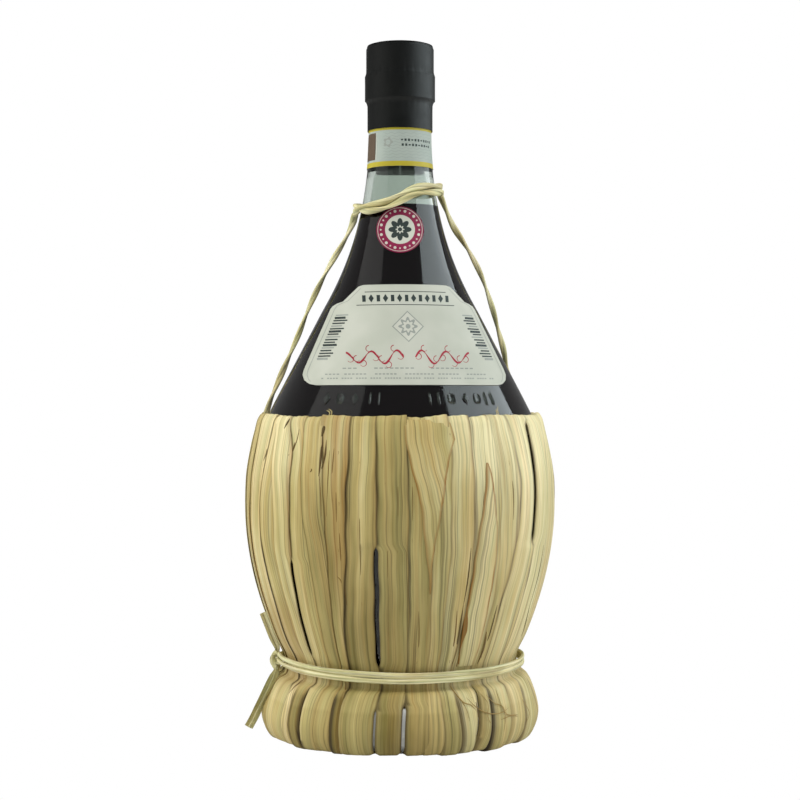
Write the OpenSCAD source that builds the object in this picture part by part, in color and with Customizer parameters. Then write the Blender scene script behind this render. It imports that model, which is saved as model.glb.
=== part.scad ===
// Straw-covered wine flask: a round-bottomed glass flask in a jacket of folded
// straw blades, with a plastic base ring, a waist tie and a carry cord.
// Millimetres. +Z is up, the foot stands on z = 0, the label faces -Y.

/* [Flask] */
// Height of the glass bottom above the table
flask_lift = 8; // [7:0.5:11]
// Height from the glass bottom to the widest point
lower_h = 92; // [84:1:100]
// Height from the widest point to the top of the cone
cone_h = 81; // [74:1:88]
// Height from the top of the cone to the straight neck
flare_h = 80; // [74:1:88]
// Height of the straight neck with its finish
finish_h = 35.9; // [34:0.1:40]
// Diameter at the widest point
belly_d = 130; // [122:1:138]
// Diameter at the top of the cone
cone_d = 68.8; // [62:0.2:74]
// Angle of the cone from upright
cone_angle = 27.5; // [25:0.5:30]
// Diameter of the straight neck
neck_d = 26.6; // [25.6:0.1:28]
// Diameter of the flat on the glass bottom
bottom_d = 44; // [36:1:52]
// Rise of the punt in the middle of the bottom
punt_h = 6; // [3:0.5:9]
// Thickness of the blown wall
wall = 3; // [2.4:0.1:3.6]
// Thickness of the glass bottom
bottom_wall = 5; // [4:0.5:7]

/* [Finish] */
// Diameter of the bore that holds the cork
bore_d = 18.5; // [17.5:0.1:19.5]
// Length of the cylindrical bore
bore_h = 50; // [47:0.5:54]
// Diameter of the lip
lip_d = 28.2; // [27.6:0.1:28.6]
// Diameter of the string ring
ring_d = 29.3; // [28.8:0.1:30.5]
// Height of the lip above the string ring
lip_h = 13.2; // [11:0.1:15]
// Height of the string ring
string_h = 9.8; // [8:0.1:11]

/* [Cork and wine] */
// Length of the cork
cork_h = 44; // [38:0.5:45]
// Radial clearance of the cork in the bore
cork_play = 0.03; // [0.01:0.01:0.08]
// Depth of the cork's top below the lip
cork_sink = 0.2; // [0.1:0.1:0.8]
// Depth of the wine's surface below the lip
ullage = 69; // [62:0.5:80]
// Clearance between the wine and the glass
wine_gap = 0.2; // [0.1:0.05:0.4]

/* [Capsule] */
// Thickness of the capsule
foil = 0.35; // [0.25:0.05:0.4]
// Clearance between the capsule and the glass
foil_gap = 0.15; // [0.1:0.05:0.3]
// Length of the skirt below the string ring
skirt_h = 13; // [10:0.1:14]
// Height of the chamfer between the string ring and the skirt
skirt_chamfer = 1.8; // [1.2:0.1:2.6]
// Width of the cut between the capsule's top and its skirt
cut_gap = 0.15; // [0.1:0.05:0.3]

/* [Papers] */
// Thickness of the neck strip
strip_t = 0.15; // [0.1:0.05:0.2]
// Width of the neck strip
strip_h = 18.6; // [15:0.1:21]
// Length of the neck strip that the skirt covers
strip_tuck = 1.6; // [1:0.1:3]
// Thickness of the front label
label_t = 0.25; // [0.15:0.05:0.4]
// Height of the label's lower edge above the widest point
label_base = 50.5; // [47:0.5:54]
// Height of the label
label_h = 42; // [36:0.5:46]
// Width of the label along its lower edge
label_w = 86; // [70:1:92]
// Width of the label at its shoulders
label_shoulder_w = 50; // [42:1:54]
// Width of the tab above the shoulders
label_tab_w = 35; // [28:1:38]
// Height of that tab
label_tab_h = 8.6; // [6:0.2:11]
// Diameter of the neck seal
seal_d = 20; // [16:0.5:22]
// Thickness of the neck seal
seal_t = 0.4; // [0.2:0.1:0.8]
// Height of the seal's middle above the top of the cone
seal_rise = 35.2; // [33:0.2:38]
// Clearance between the papers and the glass
paper_gap = 0.1; // [0.05:0.05:0.15]

/* [Straw jacket] */
// Shares of the way round that the blades cover, left of the front first
blade_shares = [
    7.1, 8.1, 8.3, 11.6, 11.3, 8.4, 6.8, 8.2, 11.5, 7.3, 12.6, 12.3,
    11, 12, 11, 12.5, 10.5, 12, 11.5, 11, 12.5, 10.5, 12, 11.5,
    11, 12.5, 11, 12, 10.5, 12.5, 11, 12, 7, 9.4
];
// Azimuth of the first blade's left edge, from the front
first_az = -44; // [-60:0.5:-30]
// Thickness of a blade
blade_t = 0.7; // [0.5:0.05:0.9]
// Clearance between a blade and what it lies on
blade_gap = 0.2; // [0.15:0.05:0.3]
// Clearance between the blades and the glass
jacket_gap = 0.4; // [0.35:0.05:0.6]
// Width by which each blade covers the next
overlap = 1.3; // [0.8:0.1:1.8]
// Height of the rim above the widest point of the flask
rim_h = 39; // [34:0.5:43]
// Length of the blades tucked in behind the hoop
tuck_h = 7; // [5:0.5:10]
// Diameter of the hoop that the blades are folded over
hoop_d = 1; // [0.8:0.1:1.4]

/* [Base ring] */
// Height of the base ring's outer wall
base_h = 20.6; // [18:0.2:22]
// Largest diameter of the base ring
base_d = 115.2; // [112:0.2:120]
// Diameter of its upper edge
base_top_d = 111.4; // [108:0.2:114]
// Outer diameter of its foot
foot_d = 85; // [80:1:90]
// Width of the foot
foot_w = 4; // [3:0.5:6]
// Depth of the recess that takes the ends of the blades
recess_h = 3; // [2.6:0.1:4]
// Thickness of the moulded walls
mould_t = 2; // [1.4:0.1:2.6]
// Number of ribs
rib_n = 12; // [6:1:24]
// Thickness of a rib
rib_t = 1.6; // [1:0.1:2.4]
// Height at which the cradle starts to hold the glass
seat_z = 16; // [14:0.5:18]
// Height of the cradle's seat
seat_h = 6; // [4:0.5:7]

/* [Tie and cord] */
// Height of the waist tie
tie_z = 33.6; // [32:0.2:36]
// Diameter of the tie
tie_d = 2.2; // [1.8:0.1:2.4]
// Distance between its turns
tie_pitch = 2.65; // [2.65:0.05:3]
// Clearance under the tie
tie_gap = 0.3; // [0.2:0.05:0.6]
// Azimuth of the knot, from the front
knot_az = -80; // [-90:1:-60]
// Width of the knot
knot_w = 4; // [3:0.5:6]
// Width of the tie's free ends
end_w = 3.6; // [2.4:0.2:5]
// Thickness of the tie's free ends
end_t = 0.9; // [0.6:0.1:1.4]
// Diameter of the carry cord
cord_d = 2.3; // [1.8:0.1:2.4]
// Distance between the cord's turns round the neck
cord_pitch = 2.8; // [2.8:0.05:3.2]
// Height of the neck loop above the top of the cone
loop_rise = 50.2; // [48:0.2:53]
// Rise of the loop from the left to the right
loop_tilt = 3.6; // [2:0.2:5]
// Clearance between the loop and the glass
cord_gap = 0.4; // [0.3:0.1:0.8]

/* [Hidden] */
$fn = 96;
blade_n = len(blade_shares);
function two(n) = str(n < 10 ? "0" : "", n);
function blade_name(i) = str("blade_", two(i + 1));

glass_c = [0.3, 0.34, 0.33];
wine_c = [0.2, 0.02, 0.05];
cork_c = [0.72, 0.55, 0.38];
foil_c = [0.12, 0.12, 0.13];
paper_c = [0.9, 0.89, 0.82];
seal_c = [0.55, 0.1, 0.28];
plastic_c = [0.85, 0.85, 0.82];
straw_c = [0.78, 0.71, 0.5];
cord_c = [0.8, 0.77, 0.6];

// Heights above the table
belly_z = flask_lift + lower_h;
cone_z = belly_z + cone_h;
neck_z = cone_z + flare_h;
lip_z = neck_z + finish_h;
ring_top_z = lip_z - lip_h;
ring_low_z = ring_top_z - string_h;
wine_z = lip_z - ullage;
rim_z = belly_z + rim_h;

// A point of a cubic curve through a and d that b and c pull on
function bezier(a, b, c, d, t) =
    pow(1 - t, 3) * a + 3 * pow(1 - t, 2) * t * b + 3 * (1 - t) * t * t * c + t * t * t * d;
function unit(v) = v / norm(v);
function smooth(x) = let (u = min(max(x, 0), 1)) u * u * (3 - 2 * u);
function mix(a, b, t) = a + (b - a) * t;

// Outline of the glass from the straight neck down to the bottom, as [r, z]
cone_dir = [sin(cone_angle), -cos(cone_angle)];
cone_top = [cone_d / 2, cone_z];
belly = [belly_d / 2, belly_z];
function flare(t) = bezier([neck_d / 2, neck_z], [neck_d / 2, neck_z - 46],
    cone_top - 10 * cone_dir, cone_top, t);
function shoulder(t) = bezier(cone_top, cone_top + 60 * cone_dir, belly + [0, 27], belly, t);
function bowl(t) = bezier(belly, belly - [0, 46], [bottom_d / 2 + 14, flask_lift],
    [bottom_d / 2, flask_lift], t);
outline = concat(
    [for (i = [0 : 13]) flare(i / 14)],
    [for (i = [0 : 11]) shoulder(i / 12)],
    [for (i = [0 : 16]) bowl(i / 16)]);
outline_n = len(outline);
function slope(i) = unit(outline[min(i + 1, outline_n - 1)] - outline[max(i - 1, 0)]);
// The outline moved outward by d
function outline_by(d) = [for (i = [0 : outline_n - 1]) outline[i] + d * [-slope(i)[1], slope(i)[0]]];
radii = [for (p = outline) [p[1], p[0]]];
function glass_r(z) = lookup(z, radii);
// Outward normal of the glass at height z
function glass_n(z) = unit([2, glass_r(z - 1) - glass_r(z + 1)]);
// A point d outside the glass at height z
function off_glass(z, d) = [glass_r(z), z] + d * glass_n(z);

// The part of a moved outline between two heights
function outline_between(d, low, high) = let (p = outline_by(d)) concat(
    [off_glass(high, d)],
    [for (q = p) if (q[1] < high - 0.6 && q[1] > low + 0.6) q],
    [off_glass(low, d)]);
function reversed(p) = [for (i = [len(p) - 1 : -1 : 0]) p[i]];
// A sheet from d to d + t outside the glass, between two heights
module glass_shell(d, t, low, high) {
    rotate_extrude()
        polygon(concat(outline_between(d, low, high), reversed(outline_between(d + t, low, high))));
}

/* Glass, cork and wine */

bore_low = lip_z - bore_h;
hollow = [for (p = outline_by(-wall)) if (p[1] < bore_low - 6 && p[1] > flask_lift + bottom_wall + 1) p];
floor_z = flask_lift + bottom_wall;

module flask() {
    lip_r = lip_d / 2;
    string_r = ring_d / 2;
    neck_r = neck_d / 2;
    color(glass_c) rotate_extrude() polygon(concat(
        [[0, flask_lift + punt_h], [bottom_d / 2 * 0.55, flask_lift + punt_h * 0.8],
         [bottom_d / 2 - 4, flask_lift + 0.6]],
        reversed(outline),
        [[neck_r, ring_low_z - 1.5], [string_r - 0.9, ring_low_z], [string_r, ring_low_z + 1.2],
         [string_r, ring_top_z - 1.2], [string_r - 0.6, ring_top_z], [lip_r, ring_top_z + 0.4],
         [lip_r, lip_z - 1.6], [lip_r - 0.5, lip_z - 0.5], [lip_r - 1.6, lip_z],
         [bore_d / 2 + 0.8, lip_z], [bore_d / 2, lip_z - 0.8], [bore_d / 2, bore_low]],
        hollow,
        [[bottom_d / 2, floor_z + 0.4], [0, floor_z + punt_h]]));
}

module wine() {
    inside = [for (p = outline_by(-wall - wine_gap)) if (p[1] < wine_z - 1 && p[1] > floor_z + 1.4) p];
    color(wine_c) rotate_extrude() polygon(concat(
        [[0, wine_z], [glass_r(wine_z) - wall - wine_gap - 0.1, wine_z]], inside,
        [[bottom_d / 2, floor_z + 0.4 + wine_gap * 2], [0, floor_z + punt_h + wine_gap * 2]]));
}

module cork() {
    r = bore_d / 2 - cork_play;
    top = lip_z - cork_sink;
    color(cork_c) rotate_extrude() polygon([
        [0, top - cork_h], [r - 0.6, top - cork_h], [r, top - cork_h + 0.6],
        [r, top - 1.2], [r - 0.6, top - 0.6], [r - 0.6, top], [0, top]]);
}

/* Capsule: the top is cut off under the string ring, the skirt stays */

cap_lip_r = lip_d / 2 + foil_gap;
cap_ring_r = ring_d / 2 + foil_gap;
skirt_r = neck_d / 2 + paper_gap + strip_t + foil_gap;

module capsule_top() {
    z0 = ring_low_z;
    z1 = lip_z + foil_gap;
    color(foil_c) rotate_extrude() polygon([
        [0, z1], [cap_lip_r - 1.2, z1], [cap_lip_r - 0.25, z1 - 0.5], [cap_lip_r, z1 - 1.5],
        [cap_lip_r, ring_top_z + 0.9], [cap_ring_r, ring_top_z - 0.2], [cap_ring_r, z0],
        [cap_ring_r + foil * 0.8, z0], [cap_ring_r + foil, z0 + 1.6], [cap_ring_r + foil, ring_top_z],
        [cap_lip_r + foil, ring_top_z + 1.2], [cap_lip_r + foil, z1 + foil - 2.2],
        [cap_lip_r + foil - 0.4, z1 + foil - 0.9], [cap_lip_r + foil - 1.4, z1 + foil - 0.1],
        [cap_lip_r + foil - 2.2, z1 + foil], [0, z1 + foil]]);
}

module capsule_skirt() {
    z1 = ring_low_z - cut_gap;
    z0 = ring_low_z - skirt_h;
    color(foil_c) rotate_extrude() polygon([
        [skirt_r, z0], [skirt_r + foil, z0], [skirt_r + foil, z1 - skirt_chamfer],
        [cap_ring_r - 0.1, z1], [cap_ring_r - 0.1 - foil, z1], [skirt_r, z1 - skirt_chamfer]]);
}

/* Papers on the glass */

strip_top = ring_low_z - skirt_h + strip_tuck;

module neck_strip() {
    r = neck_d / 2 + paper_gap;
    low = outline_between(paper_gap, strip_top - strip_h, neck_z - 1.5);
    high = outline_between(paper_gap + strip_t, strip_top - strip_h, neck_z - 1.5);
    color(paper_c) rotate_extrude()
        polygon(concat([[r + strip_t, strip_top], [r, strip_top]], low, reversed(high)));
}

module neck_seal() {
    z = cone_z + seal_rise;
    color(seal_c) intersection() {
        glass_shell(paper_gap, seal_t, z - seal_d / 2 - 1, z + seal_d / 2 + 1);
        translate([0, 0, z]) rotate([90, 0, 0]) cylinder(d = seal_d, h = belly_d);
    }
}

module front_label() {
    z0 = belly_z + label_base;
    z1 = z0 + label_h;
    z2 = z1 - label_tab_h;
    a = label_w / 2;
    b = label_shoulder_w / 2;
    c = label_tab_w / 2;
    half = [[a - 2.6, z0], [a - 0.7, z0 + 0.8], [a, z0 + 2.8],
            [b + 1.2, z2 - 1.6], [b - 1, z2 - 0.2], [b - 3.4, z2],
            [c + 1, z2 + 0.4], [c, z2 + 1.8], [c, z1 - 2], [c - 0.6, z1 - 0.6], [c - 2, z1]];
    color(paper_c) intersection() {
        glass_shell(paper_gap, label_t, z0 - 1, z1 + 1);
        rotate([90, 0, 0]) linear_extrude(belly_d)
            polygon(concat(half, reversed([for (p = half) [-p[0], p[1]]])));
    }
}

/* Base ring */

module base_ring() {
    foot_r = foot_d / 2;
    out_r = base_d / 2;
    top_r = base_top_d / 2;
    seat = [for (z = [seat_z + seat_h, seat_z + seat_h / 2, seat_z]) off_glass(z, 0.3)];
    low_r = out_r - 4.6;
    color(plastic_c) union() {
        rotate_extrude() polygon(concat(
            [[foot_r - foot_w, 0], [foot_r, 0], [foot_r, recess_h], [low_r, recess_h],
             [out_r - 1.4, recess_h + 2.8], [out_r, base_h * 0.48], [out_r - 0.4, base_h * 0.68],
             [top_r, base_h], [top_r - mould_t * 0.8, base_h],
             [out_r - 0.4 - mould_t, base_h * 0.66], [out_r - mould_t, base_h * 0.48],
             [out_r - 1.4 - mould_t, recess_h + 3.6], [low_r - mould_t * 0.6, recess_h + mould_t],
             [foot_r + 0.6, recess_h + mould_t],
             [seat[0][0] + mould_t, seat_z + seat_h - 3], [seat[0][0] + mould_t * 0.6, seat_z + seat_h - 0.6]],
            seat,
            [[seat[2][0] - 0.2, seat_z - 1.4], [foot_r - foot_w - 0.6, 4]]));
        intersection() {
            rotate_extrude() polygon([
                [foot_r, recess_h + mould_t / 2], [low_r, recess_h + mould_t / 2],
                [out_r - 1.4 - mould_t / 2, recess_h + 3.2], [out_r - mould_t / 2, base_h * 0.48],
                [out_r - 0.4 - mould_t / 2, base_h * 0.62], [foot_r, base_h * 0.62]]);
            for (i = [0 : rib_n - 1]) rotate([0, 0, 360 * (i + 0.5) / rib_n])
                translate([foot_r - 1, -rib_t / 2, 0]) cube([out_r - foot_r, rib_t, base_h]);
        }
    }
}

/* Straw jacket */

// What one layer of blades, and two, add to the surface that they lie on
step = blade_t + blade_gap;
jacket_t = step + blade_t;

hoop_z = rim_z - jacket_t - blade_gap - hoop_d / 2;
hoop_r = off_glass(hoop_z, jacket_gap + blade_t + blade_gap + hoop_d / 2)[0];
fold_r = (hoop_d / 2 + blade_gap * 0.8) / cos(35);
rim_swell = blade_t + 2 * blade_gap + hoop_d;

module rim_hoop() {
    color(cord_c) rotate_extrude() translate([hoop_r, hoop_z]) circle(d = hoop_d, $fn = 24);
}

tie_half = tie_pitch + tie_d / 2 + 0.3;
waist_r = glass_r(tie_z + tie_half) + jacket_gap;
tie_r = waist_r + jacket_t + tie_gap + tie_d / 2;

// A station of a blade: [r, z] of its inner face, its outward normal, the way
// that its edges draw back and the share of the shingle step that it takes
function fold_at(a, draw, share) = [[hoop_r, hoop_z] + fold_r * [cos(a), sin(a)], [cos(a), sin(a)], draw, share];
function on_glass(z) = let (s = rim_swell * smooth((z - rim_z + 17) / 14))
    [off_glass(z, jacket_gap + s), glass_n(z), 0, 1];
function at(r, z, a) = [[r, z], [cos(a), sin(a)], 0, 1];
base_r = base_d / 2 + jacket_gap;
blade_end = foot_d / 2 + 1.6;
stations = concat(
    [[off_glass(hoop_z - tuck_h, jacket_gap + blade_t), -glass_n(hoop_z - tuck_h), 1, 0],
     fold_at(165, 1, 0), fold_at(85, 1, 1), fold_at(25, 0, 1)],
    [for (i = [0 : 8]) on_glass(mix(rim_z - 9, tie_z + tie_half + 8, i / 8))],
    [at(waist_r, tie_z + tie_half, 0), at(waist_r - 0.5, tie_z, 0), at(waist_r - 0.3, tie_z - tie_half, -4),
     at(mix(waist_r, base_top_d / 2, 0.62), mix(tie_z - tie_half, base_h, 0.36), 38),
     at(base_top_d / 2 + 0.25, base_h + 0.45, 30), at(base_r - 0.1, base_h * 0.68, 8),
     at(base_r, base_h * 0.46, -4), at(base_r - 1.5, recess_h + 1.9, -32),
     at(base_r - 4.4, recess_h - jacket_gap, -80), at(blade_end, recess_h - jacket_gap, -90)]);

// Slits between blades: [boundary, lowest z, highest z, width]
slits = [[0, 42, 78, 1.4], [0, 4, 26, 1.4], [4, 40, 86, 1.8], [4, 3, 19, 1.4], [5, 3, 21, 2],
         [9, 8, 28, 0.8], [11, 88, 132, 1.4]];
function slit_open(s, z) = smooth((z - s[1] + 5) / 8) * smooth((s[2] + 5 - z) / 8);
function slit_w(b, z) = max(concat([0], [for (s = slits) if (s[0] == b) s[3] * slit_open(s, z)]));
function slit_share(b, z) = max(concat([0], [for (s = slits) if (s[0] == b) slit_open(s, z)]));

shares_sum = [for (i = 0, s = 0; i <= blade_n; s = s + (i < blade_n ? blade_shares[i] : 0), i = i + 1) s];
function boundary_az(b) = first_az + 360 * shares_sum[b] / shares_sum[blade_n];
// How far an edge lies beyond its boundary at a station; below zero it draws back
function edge_by(b, st) = let (k = max(slit_share(b, st[0][1]), st[2] > 0 ? 1 : 0))
    mix(overlap / 2, -max(slit_w(b, st[0][1]) / 2, 0.12), k);
function round_z(r, az, z) = [r * sin(az), -r * cos(az), z];

// The eight corners of a blade's section: inner face left to right, then outer face back
function section(i, st) = let (
    p = st[0], n = st[1], r = p[0],
    left = boundary_az(i) - edge_by(i, st) / r * 180 / PI,
    right = boundary_az(i + 1) + edge_by((i + 1) % blade_n, st) / r * 180 / PI,
    lap = overlap * 1.25 / r * 180 / PI,
    azs = [left, left + lap, right - lap, right],
    offs = [0, 0, step * st[3], step * st[3]],
    face = function (k, d) let (q = p + n * (offs[k] + d)) round_z(q[0], azs[k], q[1]))
    concat([for (k = [0 : 3]) face(k, 0)], [for (k = [3 : -1 : 0]) face(k, blade_t)]);

// A closed tube over rings of equally many points
module skin_rings(rings) {
    n = len(rings[0]);
    m = len(rings);
    polyhedron(
        points = [for (r = rings) each r],
        faces = concat(
            [for (k = [0 : m - 2], j = [0 : n - 1]) let (a = k * n + j, b = k * n + (j + 1) % n)
                each [[a, b, b + n], [a, b + n, a + n]]],
            [for (j = [1 : n - 2]) [0, j + 1, j]],
            [for (j = [1 : n - 2]) let (o = (m - 1) * n) [o, o + j, o + j + 1]]),
        convexity = 6);
}

module blade(i) {
    color(straw_c * (0.92 + 0.08 * sin(i * 137)))
        skin_rings([for (st = stations) section(i, st)]);
}

/* Tubes along a route */

function across(p) = unit([p[0], p[1], 0]);
// Ring of a tube round point p with direction t, turned to face away from the axis
function tube_ring(p, t, d, sides) = let (
    u = unit(across(p) - (across(p) * t) * t), v = cross(t, u))
    [for (j = [0 : sides - 1]) let (a = 360 * (j + 0.5) / sides) p + d / 2 * (cos(a) * u + sin(a) * v)];
function heading(path, k, ends) =
    k == 0 && ends[0] != undef ? ends[0] :
    k == len(path) - 1 && ends[1] != undef ? ends[1] :
    unit(path[min(k + 1, len(path) - 1)] - path[max(k - 1, 0)]);
module tube(path, d, sides, ends = [undef, undef]) {
    skin_rings([for (k = [0 : len(path) - 1]) tube_ring(path[k], heading(path, k, ends), d, sides)]);
}
// A smooth route through chosen points, s steps between each two
function route(pts, s) = let (n = len(pts)) concat(
    [for (i = [0 : n - 2], k = [0 : s - 1]) let (
        t = k / s, a = pts[max(i - 1, 0)], b = pts[i], c = pts[i + 1], d = pts[min(i + 2, n - 1)])
        0.5 * (2 * b + t * (c - a) + t * t * (2 * a - 5 * b + 4 * c - d) + t * t * t * (3 * b - a - 3 * c + d))],
    [pts[n - 1]]);
// Least distance between two turns of a winding, less the tube's diameter, measured on
// points that cut each step of the route in five; near is how many steps are one stretch
function finer(path) = [for (i = [0 : len(path) - 2], k = [0 : 4]) mix(path[i], path[i + 1], k / 5)];
function self_gap(path, near, d) = let (p = finer(path)) min([for (i = [0 : len(p) - 1],
    j = [i + near * 5 : 1 : len(p) - 1]) norm(p[i] - p[j])]) - d;

/* Waist tie: two turns that start and end at the knot */

knot_side = knot_w / 2;
turn_r = tie_r / cos(7.5);
tie_from = asin((knot_side + tie_d) / tie_r) + 5;
function knot_point(x, y, z) = let (c = cos(knot_az), s = sin(knot_az))
    [x * s + y * c, -x * c + y * s, z];
tie_path = concat(
    [knot_point(tie_r, knot_side, tie_z + tie_pitch), knot_point(tie_r, knot_side + tie_d, tie_z + tie_pitch)],
    [for (i = [0 : 46]) let (a = mix(tie_from, 720 - tie_from, i / 46))
        round_z(turn_r, knot_az + a, tie_z + tie_pitch * (1 - a / 360))],
    [knot_point(tie_r, -knot_side - tie_d, tie_z - tie_pitch), knot_point(tie_r, -knot_side, tie_z - tie_pitch)]);
knot_dir = knot_point(0, 1, 0);
echo(waist_tie_least_gap = self_gap(tie_path, 16, tie_d));

module waist_tie() {
    color(cord_c) tube(tie_path, tie_d, 6, [knot_dir, knot_dir]);
}

module tie_knot() {
    x0 = tie_r - tie_d / 2;
    x1 = tie_r + tie_d / 2 + 0.3;
    x2 = x1 + 1.5;
    h0 = tie_d / 2 + 0.3;
    h1 = tie_pitch + tie_d / 2 + 0.2;
    color(cord_c) rotate([0, 0, knot_az - 90]) rotate([90, 0, 0])
        translate([0, tie_z, -knot_w / 2]) linear_extrude(knot_w) polygon([
            [x0 + 0.3, h0], [x1, h0], [x1, -h0], [x0 + 0.3, -h0], [x0, -h0 - 0.3], [x0, -h1 + 0.3],
            [x0 + 0.3, -h1], [x2 - 1.4, -h1], [x2 - 0.4, -h1 + 0.8], [x2, -h1 + 2],
            [x2, h1 - 2], [x2 - 0.4, h1 - 0.8], [x2 - 1.4, h1], [x0 + 0.3, h1], [x0, h1 - 0.3], [x0, h0 + 0.3]]);
}

// Outline of the jacket's outer face, as [z, r]
jacket_out = [for (i = [len(stations) - 2 : -1 : 4]) let (q = stations[i][0] + stations[i][1] * jacket_t)
    [q[1], q[0]]];
// A point off the jacket's station i, in tie diameters, lower by a share of the base ring
function beside(i, off, y, drop) = let (q = stations[i][0] + stations[i][1] * (jacket_t + off * tie_d))
    knot_point(q[0], y * tie_d, q[1] - drop * base_h);
// A point off the jacket, in tie diameters, up by a number of the tie's half heights
function above(off, y, up) = let (z = tie_z + up * tie_half)
    knot_point(lookup(z, jacket_out) + off * tie_d, y * tie_d, z);

// A flat end along chosen points, which leaves the knot up or down with its edge to the jacket
module tie_end(pts) {
    path = route(pts, 3);
    thick = knot_dir * end_t / 2;
    color(cord_c) skin_rings([for (k = [0 : len(path) - 1]) let (
        t = k == 0 ? [0, 0, sign(pts[1][2] - pts[0][2])] : heading(path, k, [undef, undef]),
        u = unit(cross(t, knot_dir)) * end_w / 2 * mix(0.4, 1, smooth(k / 6)))
        [path[k] - thick - u, path[k] + thick - u, path[k] + thick + u, path[k] - thick + u]]);
}
end_start = tie_pitch + tie_d / 2 + 0.3;
end_r = tie_r + 0.27 * tie_d;
end_low = [knot_point(end_r, 0, tie_z - end_start - 0.5), beside(16, 1, 0, 0.07), beside(17, 1.4, 0, 0),
    beside(18, 1.45, -0.25, 0), beside(19, 1.8, -0.45, 0), beside(19, 2.2, -0.55, 0.17)];
end_up = [knot_point(end_r, 0, tie_z + end_start + 0.2), above(1.2, 0, 1.48), above(1.35, 0.1, 2.57),
    above(1.3, 0.2, 3.7), above(1.15, 0.3, 5.04)];
module tie_end_low() { tie_end(end_low); }
module tie_end_up() { tie_end(end_up); }

/* Carry cord: one and a half turns round the neck and a leg down to the rim on each side */

// In front the two turns lie side by side and cross over once, so that both legs leave below
loop_z = cone_z + loop_rise;
half = cord_pitch / 2;
loop_r = (glass_r(loop_z - loop_tilt) + cord_gap + cord_d / 2 + half) / cos(7.5);
function loop_level(a) = loop_z + loop_tilt * sin(a) - cord_d * 0.52 * cos(a);
// The side of the pair that the cord is on: 180 low, 0 high, and in or out between them
function side(a) = a < 90 ? 90 - a : a < 270 ? 0 : a - 270;
function loop_at(a) = let (s = side(a), out = a < 90 ? -half : half)
    round_z(loop_r + out * sin(s), a, loop_level(a) + half * cos(s));
loop_arc = [for (i = [0 : 34]) loop_at(mix(-76, 436, i / 34))];
loop_start = [-loop_r, cord_d, loop_level(-90) - half];
loop_end = [loop_r, cord_d, loop_level(90) - half];
loop_path = concat([loop_start, loop_start - [0, cord_d, 0]], loop_arc, [loop_end - [0, cord_d, 0], loop_end]);
echo(neck_loop_least_gap = self_gap(loop_path, 12, cord_d));

rim_top = rim_z + 0.8;
// A leg's points as [share of the way up from the rim, azimuth, stand-off from the glass in
// cord diameters], from the loop's end at top
function leg(top, out, pts) = concat([top, top + cord_d * [0.26 * out, 0.87, -0.6]],
    [for (p = pts) let (z = mix(rim_top, top[2], p[0])) round_z(glass_r(z) + p[2] * cord_d, p[1], z)]);
leg_left = leg(loop_start, -1, [
    [0.946, -101, 1.36], [0.865, -98.1, 1.88], [0.769, -94.8, 2.72], [0.678, -92.4, 3.15],
    [0.539, -90.6, 3.02], [0.396, -90, 2.28], [0.264, -90, 1.8], [0.146, -90, 1.37],
    [0.062, -90, 1.05], [0, -90, 0.61]]);
leg_right = leg(loop_end, 1, [
    [0.937, 103, 2.1], [0.878, 102.4, 2.44], [0.806, 101.5, 3.31], [0.735, 101.1, 4.16],
    [0.628, 101.9, 4.69], [0.488, 104.6, 4.17], [0.387, 106.9, 3.39], [0.296, 109.4, 2.9],
    [0.216, 112, 2.29], [0.125, 113.7, 1.66], [0.053, 114.6, 1.19], [0, 115, 0.61]]);

module cord_leg_left() {
    color(cord_c) tube(route(leg_left, 2), cord_d, 8, [[0, 1, 0], undef]);
}
module cord_neck_loop() {
    color(cord_c) tube(loop_path, cord_d, 8, [[0, -1, 0], [0, 1, 0]]);
}
module cord_leg_right() {
    color(cord_c) tube(route(leg_right, 2), cord_d, 8, [[0, 1, 0], undef]);
}

flask();
wine();
cork();
capsule_top();
capsule_skirt();
neck_strip();
neck_seal();
front_label();
base_ring();
rim_hoop();
waist_tie();
tie_knot();
tie_end_low();
tie_end_up();
cord_leg_left();
cord_neck_loop();
cord_leg_right();
for (i = [0 : blade_n - 1]) blade(i);
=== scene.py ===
# %% [markdown]
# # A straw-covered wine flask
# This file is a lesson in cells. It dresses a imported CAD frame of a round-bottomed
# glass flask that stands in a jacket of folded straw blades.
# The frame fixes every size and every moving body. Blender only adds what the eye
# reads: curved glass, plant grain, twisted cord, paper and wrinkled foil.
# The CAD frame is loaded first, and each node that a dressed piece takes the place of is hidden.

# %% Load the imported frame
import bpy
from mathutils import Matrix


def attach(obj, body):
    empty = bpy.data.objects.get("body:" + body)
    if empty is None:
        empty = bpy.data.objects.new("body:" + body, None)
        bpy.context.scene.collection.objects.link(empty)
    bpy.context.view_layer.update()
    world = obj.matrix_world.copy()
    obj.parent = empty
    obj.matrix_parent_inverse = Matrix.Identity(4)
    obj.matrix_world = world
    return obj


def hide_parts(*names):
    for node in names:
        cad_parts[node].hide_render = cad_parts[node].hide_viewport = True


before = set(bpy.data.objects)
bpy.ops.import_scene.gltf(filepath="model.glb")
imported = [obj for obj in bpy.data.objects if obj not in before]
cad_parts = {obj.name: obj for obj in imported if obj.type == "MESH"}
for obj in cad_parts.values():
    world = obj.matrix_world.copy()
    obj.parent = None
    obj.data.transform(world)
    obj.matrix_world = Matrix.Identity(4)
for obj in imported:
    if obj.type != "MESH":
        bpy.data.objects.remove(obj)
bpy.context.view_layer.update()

# %% Units and small helpers
import math
import bpy
import numpy as np

MM = 0.001
FRONT = -1.0  # the label faces -Y


def smooth_step(x):
    x = np.clip(x, 0.0, 1.0)
    return x * x * (3 - 2 * x)


def blend_between(a, b, t):
    return a + (b - a) * t


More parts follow.
